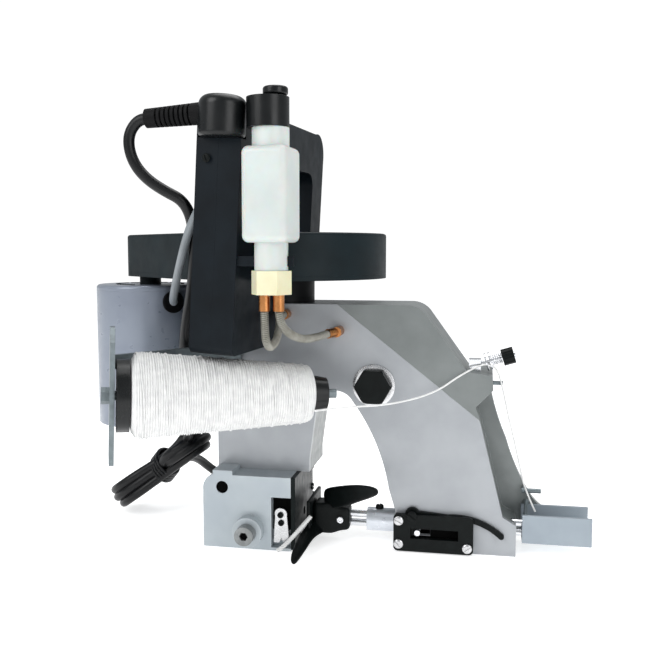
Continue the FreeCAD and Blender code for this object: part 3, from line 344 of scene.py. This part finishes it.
MAINS_R, LEAD_R, HOSE_R, THREAD_R, CHAIN_R = 3.5, 2.75, 2.2, 0.6, 1.1
SLEEVE_R, SLEEVE_PITCH, SLEEVE_WIRE = 2.3, 1.15, 0.34
PLY_R, PLY_PITCH, PLY_WIRE, PLIES = 0.95, 4.6, 0.62, 3

mains_route = MAINS_TOP + hank_turns() + MAINS_TAIL
mains = cord_curve("mains_cord", mains_route, MAINS_R * MM)
lead = cord_curve("motor_lead_cord", MOTOR_LEAD, LEAD_R * MM)
hose_a = cord_curve("oil_hose_front", HOSE_A, HOSE_R * MM)
hose_b = cord_curve("oil_hose_side", HOSE_B, HOSE_R * MM)
thread = cord_curve("needle_thread", THREAD, THREAD_R * MM)
chain = cord_curve("chain_core", CHAIN, CHAIN_R * MM)
line_a, line_b, line_chain = line_of(HOSE_A), line_of(HOSE_B), line_of(CHAIN)
sleeve_a = wound(line_a, SLEEVE_R * MM, SLEEVE_PITCH * MM, SLEEVE_WIRE * MM, name="hose_spring_front")
sleeve_b = wound(line_b, SLEEVE_R * MM, SLEEVE_PITCH * MM, SLEEVE_WIRE * MM, name="hose_spring_side")
chain_plies = joined([wound(line_chain, PLY_R * MM, PLY_PITCH * MM, PLY_WIRE * MM, 12,
                            math.radians(360 / PLIES * i), "ply") for i in range(PLIES)])


# ---- finishes -----------------------------------------------------------------------------
class Finish:
    """A material under construction: its nodes, links and shader."""

    def __init__(self, name, colour, roughness, metallic=0.0, **sockets):
        self.material = bpy.data.materials.new(name)
        self.material.use_nodes = True
        self.nodes = self.material.node_tree.nodes
        self.links = self.material.node_tree.links
        self.shader = self.nodes["Principled BSDF"]
        self.shader.inputs["Base Color"].default_value = (*colour, 1)
        self.shader.inputs["Roughness"].default_value = roughness
        self.shader.inputs["Metallic"].default_value = metallic
        for socket, value in sockets.items():
            self.shader.inputs[socket.replace("_", " ")].default_value = value
        self.place = self.nodes.new("ShaderNodeTexCoord")
        self.normal = None

    def noise(self, scale, detail=3.0, rough=0.5, stretch=None):
        texture = self.nodes.new("ShaderNodeTexNoise")
        texture.inputs["Scale"].default_value = scale
        texture.inputs["Detail"].default_value = detail
        texture.inputs["Roughness"].default_value = rough
        outlet = self.place.outputs["Object"]
        if stretch:
            mapping = self.nodes.new("ShaderNodeMapping")
            mapping.inputs["Scale"].default_value = stretch
            self.links.new(outlet, mapping.inputs["Vector"])
            outlet = mapping.outputs["Vector"]
        self.links.new(outlet, texture.inputs["Vector"])
        return texture.outputs["Fac"]

    def spread(self, value, low, high, new_low=0.0, new_high=1.0):
        """Maps a value from one range to another."""
        stretch = self.nodes.new("ShaderNodeMapRange")
        for socket, number in zip(("From Min", "From Max", "To Min", "To Max"),
                                  (low, high, new_low, new_high)):
            stretch.inputs[socket].default_value = number
        self.links.new(value, stretch.inputs["Value"])
        return stretch.outputs["Result"]

    def blend(self, amount, first, second):
        """Mixes two colours, each a tuple or a node's outlet."""
        mix = self.nodes.new("ShaderNodeMix")
        mix.data_type = "RGBA"
        self.links.new(amount, mix.inputs[0])
        for socket, colour in ((mix.inputs[6], first), (mix.inputs[7], second)):
            if isinstance(colour, tuple):
                socket.default_value = (*colour, 1)
            else:
                self.links.new(colour, socket)
        return mix.outputs[2]

    def colour(self, outlet):
        self.links.new(outlet, self.shader.inputs["Base Color"])

    def roughness(self, outlet):
        self.links.new(outlet, self.shader.inputs["Roughness"])

    def soft_edges(self, radius):
        """Rounds the look of sharp edges."""
        bevel = self.nodes.new("ShaderNodeBevel")
        bevel.samples = 4
        bevel.inputs["Radius"].default_value = radius
        self.normal = bevel.outputs["Normal"]
        self.links.new(self.normal, self.shader.inputs["Normal"])
        return self

    def relief(self, height, depth, strength):
        bump = self.nodes.new("ShaderNodeBump")
        bump.inputs["Strength"].default_value = strength
        bump.inputs["Distance"].default_value = depth
        self.links.new(height, bump.inputs["Height"])
        if self.normal:
            self.links.new(self.normal, bump.inputs["Normal"])
        self.normal = bump.outputs["Normal"]
        self.links.new(self.normal, self.shader.inputs["Normal"])

    def rubbed_and_highlit_edges(self, radius, base, rubbed_and_highlit, amount=0.5):
        """Lighter paint on the edges, partly rubbed paint and partly a painted highlight: where the rounded
        normal leaves the flat one.
        """
        bevel = self.nodes.new("ShaderNodeBevel")
        bevel.samples = 4
        bevel.inputs["Radius"].default_value = radius
        flat = self.nodes.new("ShaderNodeNewGeometry")
        dot = self.nodes.new("ShaderNodeVectorMath")
        dot.operation = "DOT_PRODUCT"
        self.links.new(bevel.outputs["Normal"], dot.inputs[0])
        self.links.new(flat.outputs["Normal"], dot.inputs[1])
        edge = self.spread(dot.outputs["Value"], 1.0, 0.82, 0.0, amount)
        return self.blend(edge, base, rubbed_and_highlit)


def paint(name, colour, dark, rubbed_and_highlit, roughness, metallic=0.0, grain=1400, depth=0.00004, edge=0.0006,
          wear_and_highlight=0.5, **sockets):
    """Sprayed paint: faint clouds, orange peel, and lighter edges that are partly rubbed paint and partly a
    painted highlight.
    """
    finish = Finish(name, colour, roughness, metallic, **sockets).soft_edges(edge)
    clouds = finish.spread(finish.noise(38, 4), 0.35, 0.7)
    base = finish.blend(clouds, colour, dark)
    # the edges are lightened towards the third colour: partly rubbed paint, partly a painted highlight
    finish.colour(finish.rubbed_and_highlit_edges(edge * 1.2, base, rubbed_and_highlit, wear_and_highlight) if wear_and_highlight else base)
    finish.roughness(finish.spread(finish.noise(160, 3), 0.3, 0.7, roughness - 0.06, roughness + 0.08))
    finish.relief(finish.noise(grain, 2), depth, 0.5)
    return finish.material


def plastic(name, colour, second, roughness, grain=2600, depth=0.00003, edge=0.0005, **sockets):
    """Moulded plastic: a fine spark-eroded grain and a slightly uneven sheen."""
    finish = Finish(name, colour, roughness, **sockets).soft_edges(edge)
    finish.colour(finish.blend(finish.spread(finish.noise(55, 4), 0.35, 0.72), colour, second))
    finish.roughness(finish.spread(finish.noise(90, 3), 0.3, 0.7, roughness - 0.05, roughness + 0.07))
    finish.relief(finish.noise(grain, 2), depth, 0.5)
    return finish.material


def metal(name, colour, second, roughness, stretch=(1, 1, 1), grain=900, depth=0.000004, edge=0.0004,
          metallic=1.0,
          **sockets):
    """Machined metal: fine drawn marks and dull patches."""
    finish = Finish(name, colour, roughness, metallic, **sockets).soft_edges(edge)
    finish.colour(finish.blend(finish.spread(finish.noise(140, 5, 0.6), 0.35, 0.7), colour, second))
    finish.roughness(finish.spread(finish.noise(grain, 3, 0.5, stretch), 0.3, 0.7, roughness - 0.06,
                                   roughness + 0.1))
    finish.relief(finish.noise(grain, 2, 0.5, stretch), depth, 0.4)
    return finish.material


DULL = {"Specular_IOR_Level": 0.13}
THIN_COAT = {"Coat_Weight": 0.2, "Coat_Roughness": 0.2}
SHINY_COAT = {"Coat_Weight": 0.25, "Coat_Roughness": 0.18}
# each paint's third colour is its lighter edge colour, partly wear and partly a painted highlight
FRAME_PAINT = paint("frame_paint", (0.195, 0.212, 0.21), (0.155, 0.17, 0.168), (0.5, 0.52, 0.52), 0.38,
                    0.35, wear_and_highlight=0.35,
                    **THIN_COAT)
COVER_PAINT = paint("cover_paint", (0.36, 0.375, 0.395), (0.31, 0.325, 0.345), (0.7, 0.72, 0.74), 0.36,
                    0.3, wear_and_highlight=0.35,
                    **THIN_COAT)
HEAD_PAINT = paint("head_paint", (0.43, 0.475, 0.50), (0.37, 0.415, 0.45), (0.75, 0.78, 0.8), 0.34, 0.3,
                   wear_and_highlight=0.3,
                   **SHINY_COAT)
DARK_GREEN = paint("dark_green_paint", (0.0015, 0.0050, 0.0050), (0.001, 0.003, 0.003), (0, 0, 0), 0.34,
                   wear_and_highlight=0, **DULL)
MOTOR_PAINT = paint("motor_paint", (0.235, 0.265, 0.32), (0.20, 0.225, 0.28), (0, 0, 0), 0.33, 0.3, wear_and_highlight=0,
                    **SHINY_COAT)
CHANNEL_PAINT = paint("channel_paint", (0.30, 0.345, 0.385), (0.26, 0.30, 0.34), (0.6, 0.65, 0.7), 0.4,
                      0.2, wear_and_highlight=0.3)
BLACK_PLASTIC = plastic("black_plastic", (0.002, 0.0024, 0.003), (0.004, 0.0044, 0.005), 0.45, **DULL)
GLOSS_BLACK = plastic("gloss_black", (0.0014, 0.0022, 0.0026), (0.0024, 0.0034, 0.004), 0.3, depth=0.00001,
                      Specular_IOR_Level=0.35)
COVER_BLACK = plastic("cover_black", (0.0055, 0.012, 0.015), (0.004, 0.008, 0.010), 0.42, depth=0.00002,
                      **DULL)
HANDLE_PLASTIC = plastic("handle_plastic", (0.0055, 0.0090, 0.0125), (0.0035, 0.0055, 0.0078), 0.42,
                         depth=0.00004,
                         **DULL)
RUBBER = plastic("rubber_black", (0.002, 0.002, 0.0025), (0.004, 0.004, 0.0045), 0.55, 1800, 0.00003,
                 **DULL)
# a flat black with almost no shine, used as painted shade in hollows and the motor's vent slots
PAINTED_SHADE_BLACK = plastic("painted_shade_black", (0.001, 0.001, 0.001), (0.002, 0.002, 0.002), 0.8, Specular_IOR_Level=0.05)
BELT_RUBBER = plastic("belt_rubber", (0.012, 0.012, 0.012), (0.02, 0.02, 0.02), 0.7, 1500, 0.00006)
BLACK_CORD = plastic("black_cord", (0.0016, 0.0018, 0.0024), (0.003, 0.0034, 0.0042), 0.36, 1500, 0.00002,
                     Specular_IOR_Level=0.3)
GREY_CORD = plastic("grey_cord", (0.23, 0.255, 0.275), (0.18, 0.20, 0.215), 0.36, 1500, 0.00002)
NUT_PLASTIC = plastic("nut_plastic", (0.74, 0.71, 0.50), (0.66, 0.62, 0.40), 0.38, Subsurface_Weight=0.25,
                      Subsurface_Scale=0.004)
BOTTLE_PLASTIC = plastic("bottle_plastic", (0.60, 0.63, 0.61), (0.54, 0.57, 0.555), 0.34, 1200, 0.00003,
                         Subsurface_Weight=0.5, Subsurface_Scale=0.006)
STEEL = metal("steel", (0.66, 0.66, 0.67), (0.52, 0.52, 0.53), 0.25)
BOLT_GREY = metal("bolt_grey", (0.30, 0.31, 0.31), (0.20, 0.21, 0.21), 0.35, metallic=0.7)
SILVER = metal("housing_silver", (0.70, 0.73, 0.78), (0.62, 0.65, 0.70), 0.32, grain=300, metallic=0.75)
CHROME = metal("bright_chrome", (0.76, 0.77, 0.79), (0.66, 0.67, 0.70), 0.12, depth=0.000002)
BLACK_OXIDE = metal("black_oxide", (0.002, 0.003, 0.003), (0.004, 0.006, 0.006), 0.4, metallic=0.0, **DULL)
BRASS = metal("brass", (0.55, 0.24, 0.09), (0.36, 0.15, 0.05), 0.3)
PLATED = metal("plated_bracket", (0.20, 0.235, 0.25), (0.14, 0.165, 0.175), 0.38, (1, 1, 0.1), metallic=0.6)
ROTOR_IRON = metal("rotor_iron", (0.2, 0.2, 0.21), (0.13, 0.13, 0.14), 0.5, (0.05, 0.05, 3))
PULLEY_ALLOY = metal("pulley_alloy", (0.66, 0.66, 0.68), (0.55, 0.55, 0.57), 0.3, (1, 1, 4))
BEARING_STEEL = metal("bearing_steel", (0.58, 0.58, 0.6), (0.48, 0.48, 0.5), 0.2)


def spun_thread(name, colour, second, scale):
    """Twisted yarn: slanting plies along the cord and a fibre fuzz."""
    finish = Finish(name, colour, 0.75, Sheen_Weight=0.3, Sheen_Roughness=0.5)
    finish.colour(finish.blend(finish.spread(finish.noise(220, 4), 0.35, 0.7), colour, second))
    plies = finish.nodes.new("ShaderNodeTexWave")
    plies.wave_type = "BANDS"
    plies.bands_direction = "DIAGONAL"
    plies.inputs["Scale"].default_value = scale
    plies.inputs["Distortion"].default_value = 1.5
    finish.links.new(finish.place.outputs["Object"], plies.inputs["Vector"])
    finish.relief(plies.outputs["Fac"], 0.00012, 0.6)
    finish.relief(finish.noise(5000, 2), 0.00005, 0.5)
    return finish.material


WHITE_THREAD = spun_thread("white_thread", (0.82, 0.82, 0.81), (0.70, 0.70, 0.70), 900)
HOSE_SLEEVE = spun_thread("hose_braid", (0.11, 0.108, 0.085), (0.07, 0.068, 0.05), 1400)
SPRING_WIRE = metal("hose_spring_wire", (0.40, 0.39, 0.35), (0.27, 0.26, 0.22), 0.38, metallic=0.6)

CAD_FINISH = {
    FRAME_PAINT: ["frame_casting", "rear_cover"], COVER_PAINT: ["front_cover"], HEAD_PAINT: ["looper_head"],
    DARK_GREEN: ["throat_plate"], MOTOR_PAINT: ["motor_body", "motor_end_caps"],
    CHANNEL_PAINT: ["guard_channel"],
    BLACK_PLASTIC: ["neck_housing", "trigger"], COVER_BLACK: ["belt_cover", "belt_cover_base"],
    GLOSS_BLACK: ["handle_cap", "oil_cap", "pump_knob", "cone_holders"],
    HANDLE_PLASTIC: ["handle_shells"], RUBBER: ["motor_grommet", "strain_relief"],
    BELT_RUBBER: ["drive_belt"],
    BLACK_CORD: ["mains_plug"], NUT_PLASTIC: ["oil_nut"], BOTTLE_PLASTIC: ["oil_bottle"],
    SILVER: ["bar_housing"],
    BOLT_GREY: ["feed_adjust_screw"],
    STEEL: ["fixed_knife", "moving_knife", "connecting_rod",
            "needle_lever", "lever_shaft", "main_shaft", "looper", "feed_dog"],
    CHROME: ["tension_post", "tension_discs", "needle_bar", "needle", "presser_bar"],
    BLACK_OXIDE: ["lifter_plate", "lifter_lever", "pivot_nut", "tension_knob"],
    BRASS: ["oil_fittings"], PLATED: ["motor_bracket", "spool_bracket", "thread_guides"],
    ROTOR_IRON: ["motor_rotor"], PULLEY_ALLOY: ["driven_pulley"], BEARING_STEEL: ["shaft_bearings"],
}
for finish_material, names in CAD_FINISH.items():
    for node in names:
        mesh = NODES[node].data
        mesh.materials.clear()
        mesh.materials.append(finish_material)

# ---- thread package -----------------------------------------------------------------------
SPOOL_FROM, SPOOL_TO = Vector((-71, -111, 116)), Vector((35, -60, 112))
SPOOL_START = SPOOL_FROM * MM
SPOOL_RUN = (SPOOL_TO - SPOOL_FROM).normalized()
PACKAGE = [
    (2.6, 17), (3.4, 22.6), (5.6, 25.4), (9, 26.3), (30, 24.6), (60, 22.3), (90, 20), (108, 18.6),
    (113, 18), (116, 16.4), (117.6, 12.5)]
WOUND_SPAN = (5.0, 115.5)


def package_radius(along):
    """The package's radius in mm, a distance in mm from its start."""
    for (s0, r0), (s1, r1) in zip(PACKAGE, PACKAGE[1:]):
        if along <= s1:
            return r0 + (r1 - r0) * max(0.0, along - s0) / (s1 - s0)
    return PACKAGE[-1][1]


def package_layer(name, pitch, wire, per_turn, lift, mirrored=False):
    """One layer of yarn laid round the package from end to end."""
    begin, end = WOUND_SPAN
    line = [SPOOL_START + SPOOL_RUN * (begin * MM), SPOOL_START + SPOOL_RUN * (end * MM)]
    if mirrored:
        line.reverse()
    step = pitch / per_turn

    def reach(i):
        along = begin + i * step
        return package_radius(begin + end - along if mirrored else along) + lift
    return wound(line, MM, pitch * MM, wire * MM, per_turn, 0.0, name, reach)


core = lie_along(turned(PACKAGE, 64), SPOOL_START, SPOOL_RUN)
smooth(core, 50)
finished(core, "thread_package", WHITE_THREAD, "spool", ("thread_cone",))
finished(package_layer("package_windings", 1.5, 0.62, 40, 0.1), "package_windings", WHITE_THREAD,
         "spool")
crossings = joined([package_layer("crossing", 9, 0.42, 60, 0.75),
                    package_layer("crossing", 13, 0.42, 60, 0.75, True)])
finished(crossings, "package_crossings", WHITE_THREAD, "spool")

# ---- tension spring -----------------------------------------------------------------------
TENSION_START = Vector((141, -10, 127.4)) * MM
TENSION_LEAN = math.radians(17)
TENSION_RUN = Vector((math.cos(TENSION_LEAN), 0, math.sin(TENSION_LEAN)))
SPRING_R, SPRING_PITCH, SPRING_WIRE_R = 3.2, 1.35, 0.42
spring_line = [TENSION_START + TENSION_RUN * (along * MM) for along in (8.6, 15.6)]
coil = wound(spring_line, SPRING_R * MM, SPRING_PITCH * MM, SPRING_WIRE_R * MM, 18, name="tension_coil")
finished(coil, "tension_coil", CHROME, "root", ("tension_spring",))


# ---- presser foot -------------------------------------------------------------------------
SUBDIVISIONS = 2
WING_THICKNESS = 2.4
BORE_START, BORE_R = (20 * MM, -15 * MM, 20 * MM), 3


def bore(length):
    """A drill along +X, to be cut out of the presser's pieces."""
    return lie_along(turned([(0, BORE_R), (length, BORE_R)], 32), BORE_START, (1, 0, 0))


def sheet(rows, thickness):
    """A bent sheet drawn out row by row from one edge, then thickened and rounded."""
    clear_selection()
    bpy.ops.mesh.primitive_plane_add(size=0.01, location=(0, 0, 0))
    piece = bpy.context.object
    edit(piece)
    places = [Vector(p) * MM for p in (*rows[0], *rows[1])]

    def shift(indices, targets):
        for index, target in zip(indices, targets):
            bpy.ops.object.mode_set(mode="OBJECT")
            select_none(piece.data)
            corner = piece.data.vertices[index]
            corner.select = True
            away = target - corner.co
            bpy.ops.object.mode_set(mode="EDIT")
            bpy.ops.mesh.select_mode(type="VERT")
            bpy.ops.transform.translate(value=away)
    shift((0, 1, 2, 3), places)
    last = {2, 3}
    for lower, upper in rows[2:]:
        bpy.ops.object.mode_set(mode="OBJECT")
        for edge in piece.data.edges:
            edge.select = set(edge.vertices) == last
        for corner in piece.data.vertices:
            corner.select = corner.index in last
        before = len(piece.data.vertices)
        bpy.ops.object.mode_set(mode="EDIT")
        bpy.ops.mesh.select_mode(type="EDGE")
        bpy.ops.mesh.extrude_edges_move(TRANSFORM_OT_translate={"value": (0, 0, 0)})
        bpy.ops.object.mode_set(mode="OBJECT")
        bpy.ops.object.mode_set(mode="EDIT")
        shift((before, before + 1), (Vector(lower) * MM, Vector(upper) * MM))
        last = {before, before + 1}
    bpy.ops.object.mode_set(mode="OBJECT")
    thick = piece.modifiers.new("thick", "SOLIDIFY")
    thick.thickness = thickness * MM
    thick.offset = 0.0
    rounding = piece.modifiers.new("round", "SUBSURF")
    rounding.levels = rounding.render_levels = SUBDIVISIONS
    apply_all(piece)
    outward(piece)
    smooth(piece, 60)
    return piece


UPPER_WING = [
    ((36, -16, 20), (33.5, -16, 35)), ((39.7, -21, 24), (36.8, -21, 39.5)),
    ((52.4, -33, 28.6), (49.6, -33, 45)), ((62.5, -45, 36.4), (60.4, -45, 49.6)),
    ((71, -54, 42), (70.2, -54, 52)), ((76.4, -59.7, 45.8), (76, -59.7, 52.6)),
    ((79, -62.5, 48.5), (78.8, -62.5, 51.6))]
LOWER_WING = [
    ((38.5, -14, 7.5), (28.5, -14, 17)), ((35.6, -22, 6.6), (27, -22, 16)),
    ((33.6, -33, 8.3), (24.4, -33, 14.6)), ((32, -44, 8.8), (22.6, -44, 12)),
    ((30.6, -56, 6.4), (22, -56, 9.6)), ((28.8, -68, 4.2), (22.6, -68, 7.9)),
    ((27, -77, 2.4), (24, -77, 5.2))]
finished(sheet(UPPER_WING, WING_THICKNESS), "presser_wing_upper", BLACK_OXIDE, "presser",
         ("presser_foot",))
finished(sheet(LOWER_WING, WING_THICKNESS), "presser_wing_lower", BLACK_OXIDE, "presser")
pad = block((25.5, -34, 4), (28, 6, 32), 0.8)
carve(pad, bore(12))
smooth(pad)
finished(pad, "presser_pad", BLACK_OXIDE, "presser")


def hub_shape(piece):
    """Narrows the hub's outer end, widens its inner end and swells its middle, in metres."""
    bpy.ops.mesh.subdivide(number_cuts=3)
    pick(piece, lambda p: p.x > 0.047)
    bpy.ops.transform.resize(value=(1, 0.82, 0.8), center_override=(0.05, -0.015, 0.017))
    pick(piece, lambda p: p.x < 0.034)
    bpy.ops.transform.resize(value=(1, 1.1, 1.12), center_override=(0.03, -0.015, 0.0175))
    pick(piece, lambda p: 0.038 < p.x < 0.045 and p.z > 0.02)
    bpy.ops.transform.translate(value=(0, 0, 0.0022))
    pick(piece, lambda p: 0.038 < p.x < 0.045 and p.z < 0.012)
    bpy.ops.transform.translate(value=(0, 0, -0.0012))
    bpy.ops.mesh.select_all(action="SELECT")


hub = block((28, -24, 7), (53.5, -6.5, 27.5), 0, shape=hub_shape)
hub_round = hub.modifiers.new("round", "SUBSURF")
hub_round.levels = hub_round.render_levels = SUBDIVISIONS
apply_all(hub)
carve(hub, bore(40))
smooth(hub, 60)
finished(hub, "presser_hub", BLACK_OXIDE, "presser")
set_screw = lie_along(turned([(0, 2.4), (0.9, 2.4), (1.3, 2.0), (1.31, 1.1), (0.6, 1.0)], 32),
                      (47.3 * MM, -23.4 * MM, 17.2 * MM), (0, -1, 0))
smooth(set_screw)
finished(set_screw, "presser_set_screw", CHROME, "presser")

# ---- slotted screws -----------------------------------------------------------------------
def slotted_screw(radius, height):
    """A pan-head screw's head, standing on z = 0."""
    head = turned([(-0.4, radius * 0.6), (0, radius), (height * 0.55, radius),
                   (height * 0.85, radius * 0.86),
                   (height, radius * 0.6)], 40)
    slot = 0.11 * radius + 0.22
    carve(head, block((-slot, -2 * radius, height * 0.45), (slot, 2 * radius, 2 * height)))
    smooth(head)
    return head


# each screw: its seat, the way its head faces, radius, height and the turn of its slot
REAR_Y, PLATE_Y = 25.0, -32.0
BRIGHT_SCREWS = [((x, REAR_Y, z), (0, 1, 0), 3.5, 2.4, 0.3 * x) for x in (-27.5, 95.5) for z in (122, 158)]
BRIGHT_SCREWS += [((89, PLATE_Y, 6), (0, -1, 0), 3.2, 1.6, 0.7),
                  ((135, PLATE_Y, 5.5), (0, -1, 0), 3.2, 1.6, 2.2),
                  ((89, PLATE_Y, 22), (0, -1, 0), 3.2, 1.6, 1.1)]
DARK_SCREWS = [
    ((9.4, -43, 24.4), (0, -1, 0), 2.1, 1.6, 0.5), ((9.8, -43, 19), (0, -1, 0), 2.1, 1.6, 1.4),
    ((20, 11, 46), (1, 0, 0), 2.6, 1.4, 0.2), ((20, 11, 30), (1, 0, 0), 2.6, 1.4, 1.2),
    ((74, -15, 24.6), (0, 0, 1), 2.8, 2.8, 0.4), ((98, PLATE_Y, 25.5), (0, -1, 0), 3.4, 1.4, 0.9)]
for row, name, finish_material, slot_name in ((BRIGHT_SCREWS, "bright_screws", STEEL, "steel"),
                                              (DARK_SCREWS, "dark_screws", BLACK_OXIDE, "black_oxide")):
    heads = []
    for seat, direction, radius, height, roll in row:
        heads.append(lie_along(slotted_screw(radius, height), Vector(seat) * MM, direction, roll))
    instead = ("screws",) if name == "bright_screws" else ()
    finished(joined(heads), name, finish_material, "root", instead)

# ---- shadowed insides and small marks -----------------------------------------------------
# black liners in the tapped hole, the hex socket, the recess and behind the slot are painted shade
tapped = lie_along(turned([(0, 4.2), (0.01, 3.4), (3.2, 3.3), (3.21, 0.4)], 40),
                   Vector((-31.4, -44.4, 42.3)) * MM,
                   (0, 1, 0))
socket = lie_along(turned([(0, 2.55), (2.2, 2.55)], 6), Vector((-11.8, -57.05, 13.8)) * MM, (0, -1, 0))
recess = block((3.4, -39.25, 13.2), (16.9, -39.05, 36.9), 0.05)
slot_back = [block((91.5, -26.3, z0), (134, -26.05, z1), 0.04) for z0, z1 in ((9.4, 10.6), (16.6, 25.4))]
slot_back += [block((x0, -26.3, 10.5), (x1, -26.05, 16.7), 0.04) for x0, x1 in ((91.5, 98.4), (110.1, 134))]
finished(joined([tapped, recess, socket] + slot_back), "shadow_liners", PAINTED_SHADE_BLACK)

# the motor's vent slots are thin flat black marks on its top: painted shade of the openings
MOTOR_TOP = Vector((-0.108, 0.020, 0.179))
VENTS, VENT_STEP, VENT_START, VENT_RING = 7, 38, 20, 0.024
vents = []
for i in range(VENTS):
    angle = math.radians(VENT_STEP * i + VENT_START)
    reach = Vector((math.cos(angle), math.sin(angle), 0)) * VENT_RING
    mark = block((-6.5, -1.3, 0), (6.5, 1.3, 0.35), 0.15)
    vents.append(lie_along(mark, MOTOR_TOP + reach, (0, 0, 1), angle + math.pi / 2))
finished(joined(vents), "motor_vent_shade", PAINTED_SHADE_BLACK)

TIE_SHIFTS, TIE_WIDEN = (-3.4, -1.1, 1.2, 3.5), (1.35, 0.95, 1)
tie_turns = []
for shift in TIE_SHIFTS:
    bpy.ops.object.select_all(action="DESELECT")
    bpy.ops.mesh.primitive_torus_add(major_radius=0.0115, minor_radius=0.0013,
                                     major_segments=48, minor_segments=10)
    loop = bpy.context.object
    edit(loop)
    bpy.ops.mesh.select_all(action="SELECT")
    bpy.ops.transform.resize(value=TIE_WIDEN, center_override=(0, 0, 0))
    bpy.ops.object.mode_set(mode="OBJECT")
    turn = HANK_TURN.to_4x4() @ Matrix.Rotation(math.pi / 2, 4, "Z") @ Matrix.Rotation(math.pi / 2, 4, "X")
    loop.data.transform(Matrix.Translation(in_hank(TIE_X + shift, 0, 0.3 * shift)) @ turn)
    tie_turns.append(loop)
tie = joined(tie_turns)
smooth(tie, 60)
finished(tie, "hank_tie", BLACK_CORD)

column_screw = lie_along(slotted_screw(2.6, 0.9), Vector((-19.0, -105.6, 259)) * MM, (-0.09, -1, 0), 0.4)
finished(column_screw, "column_screw", BLACK_OXIDE)
washer = lie_along(turned([(0, 12.4), (0.01, 14.4), (1.7, 14.4), (2.0, 13.8), (2.01, 12.4)], 64),
                   Vector((71, -26, 113)) * MM, (0, -1, 0))
smooth(washer)
finished(washer, "pivot_washer", STEEL)

# ---- cords are given their finish and their lengths are measured --------------------------
finished(mains, "mains_cord", BLACK_CORD, instead_of=("mains_lead", "mains_hank"))
finished(lead, "motor_lead_cord", GREY_CORD, instead_of=("motor_lead",))
finished(hose_a, "oil_hose_front", HOSE_SLEEVE, instead_of=("oil_hose_a",))
finished(hose_b, "oil_hose_side", HOSE_SLEEVE, instead_of=("oil_hose_b",))
finished(thread, "needle_thread", WHITE_THREAD, instead_of=("sewing_thread",))
finished(chain, "chain_core", WHITE_THREAD, instead_of=("thread_chain",))
finished(sleeve_a, "hose_spring_front", SPRING_WIRE)
finished(sleeve_b, "hose_spring_side", SPRING_WIRE)
finished(chain_plies, "chain_plies", WHITE_THREAD)
mains_length = length_of(mains_route)
length_of(MOTOR_LEAD)
length_of(HOSE_A)
length_of(HOSE_B)
length_of(THREAD)
length_of(CHAIN)

# ---- stage --------------------------------------------------------------------------------
clear_selection()
bpy.ops.mesh.primitive_plane_add(size=8.0, location=(0, 0, 0))
floor = bpy.context.object
floor.name = "floor"
pale = bpy.data.materials.new("pale_floor")
pale.use_nodes = True
pale_inputs = pale.node_tree.nodes["Principled BSDF"].inputs
pale_inputs["Base Color"].default_value = (0.93, 0.93, 0.93, 1)
pale_inputs["Roughness"].default_value = 0.8
pale_inputs["Emission Color"].default_value = (1, 1, 1, 1)
pale_inputs["Emission Strength"].default_value = 0.6
floor.data.materials.append(pale)

world = bpy.data.worlds.new("studio")
bpy.context.scene.world = world
world.use_nodes = True
sky = world.node_tree.nodes
backdrop = sky["Background"]
backdrop.inputs["Color"].default_value = (1.0, 1.0, 1.0, 1)
backdrop.inputs["Strength"].default_value = 1.05
ambient = sky.new("ShaderNodeBackground")
ambient.inputs["Color"].default_value = (0.95, 0.98, 1.0, 1)
ambient.inputs["Strength"].default_value = 0.5
chooser, rays = sky.new("ShaderNodeMixShader"), sky.new("ShaderNodeLightPath")
world.node_tree.links.new(rays.outputs["Is Camera Ray"], chooser.inputs[0])
world.node_tree.links.new(ambient.outputs[0], chooser.inputs[1])
world.node_tree.links.new(backdrop.outputs[0], chooser.inputs[2])
world.node_tree.links.new(chooser.outputs[0], sky["World Output"].inputs["Surface"])
bpy.context.scene.view_settings.view_transform = "Standard"


def soft_light(name, place, aim, size, power):
    """A flat lamp at a place, turned towards what it lights."""
    lamp = bpy.data.lights.new(name, "AREA")
    lamp.shape = "RECTANGLE"
    lamp.size, lamp.size_y = size
    lamp.energy = power
    light = bpy.data.objects.new(name, lamp)
    bpy.context.scene.collection.objects.link(light)
    light.location = place
    light.rotation_euler = (Vector(aim) - Vector(place)).to_track_quat("-Z", "Y").to_euler()


soft_light("key", (-0.7, -0.9, 0.9), (0.0, 0.0, 0.12), (0.7, 0.9), 8)
soft_light("fill", (0.9, -0.8, 0.5), (0.05, 0.0, 0.12), (0.6, 0.8), 4)
soft_light("top", (0.1, 0.2, 1.1), (0.0, 0.0, 0.1), (0.8, 0.8), 6)
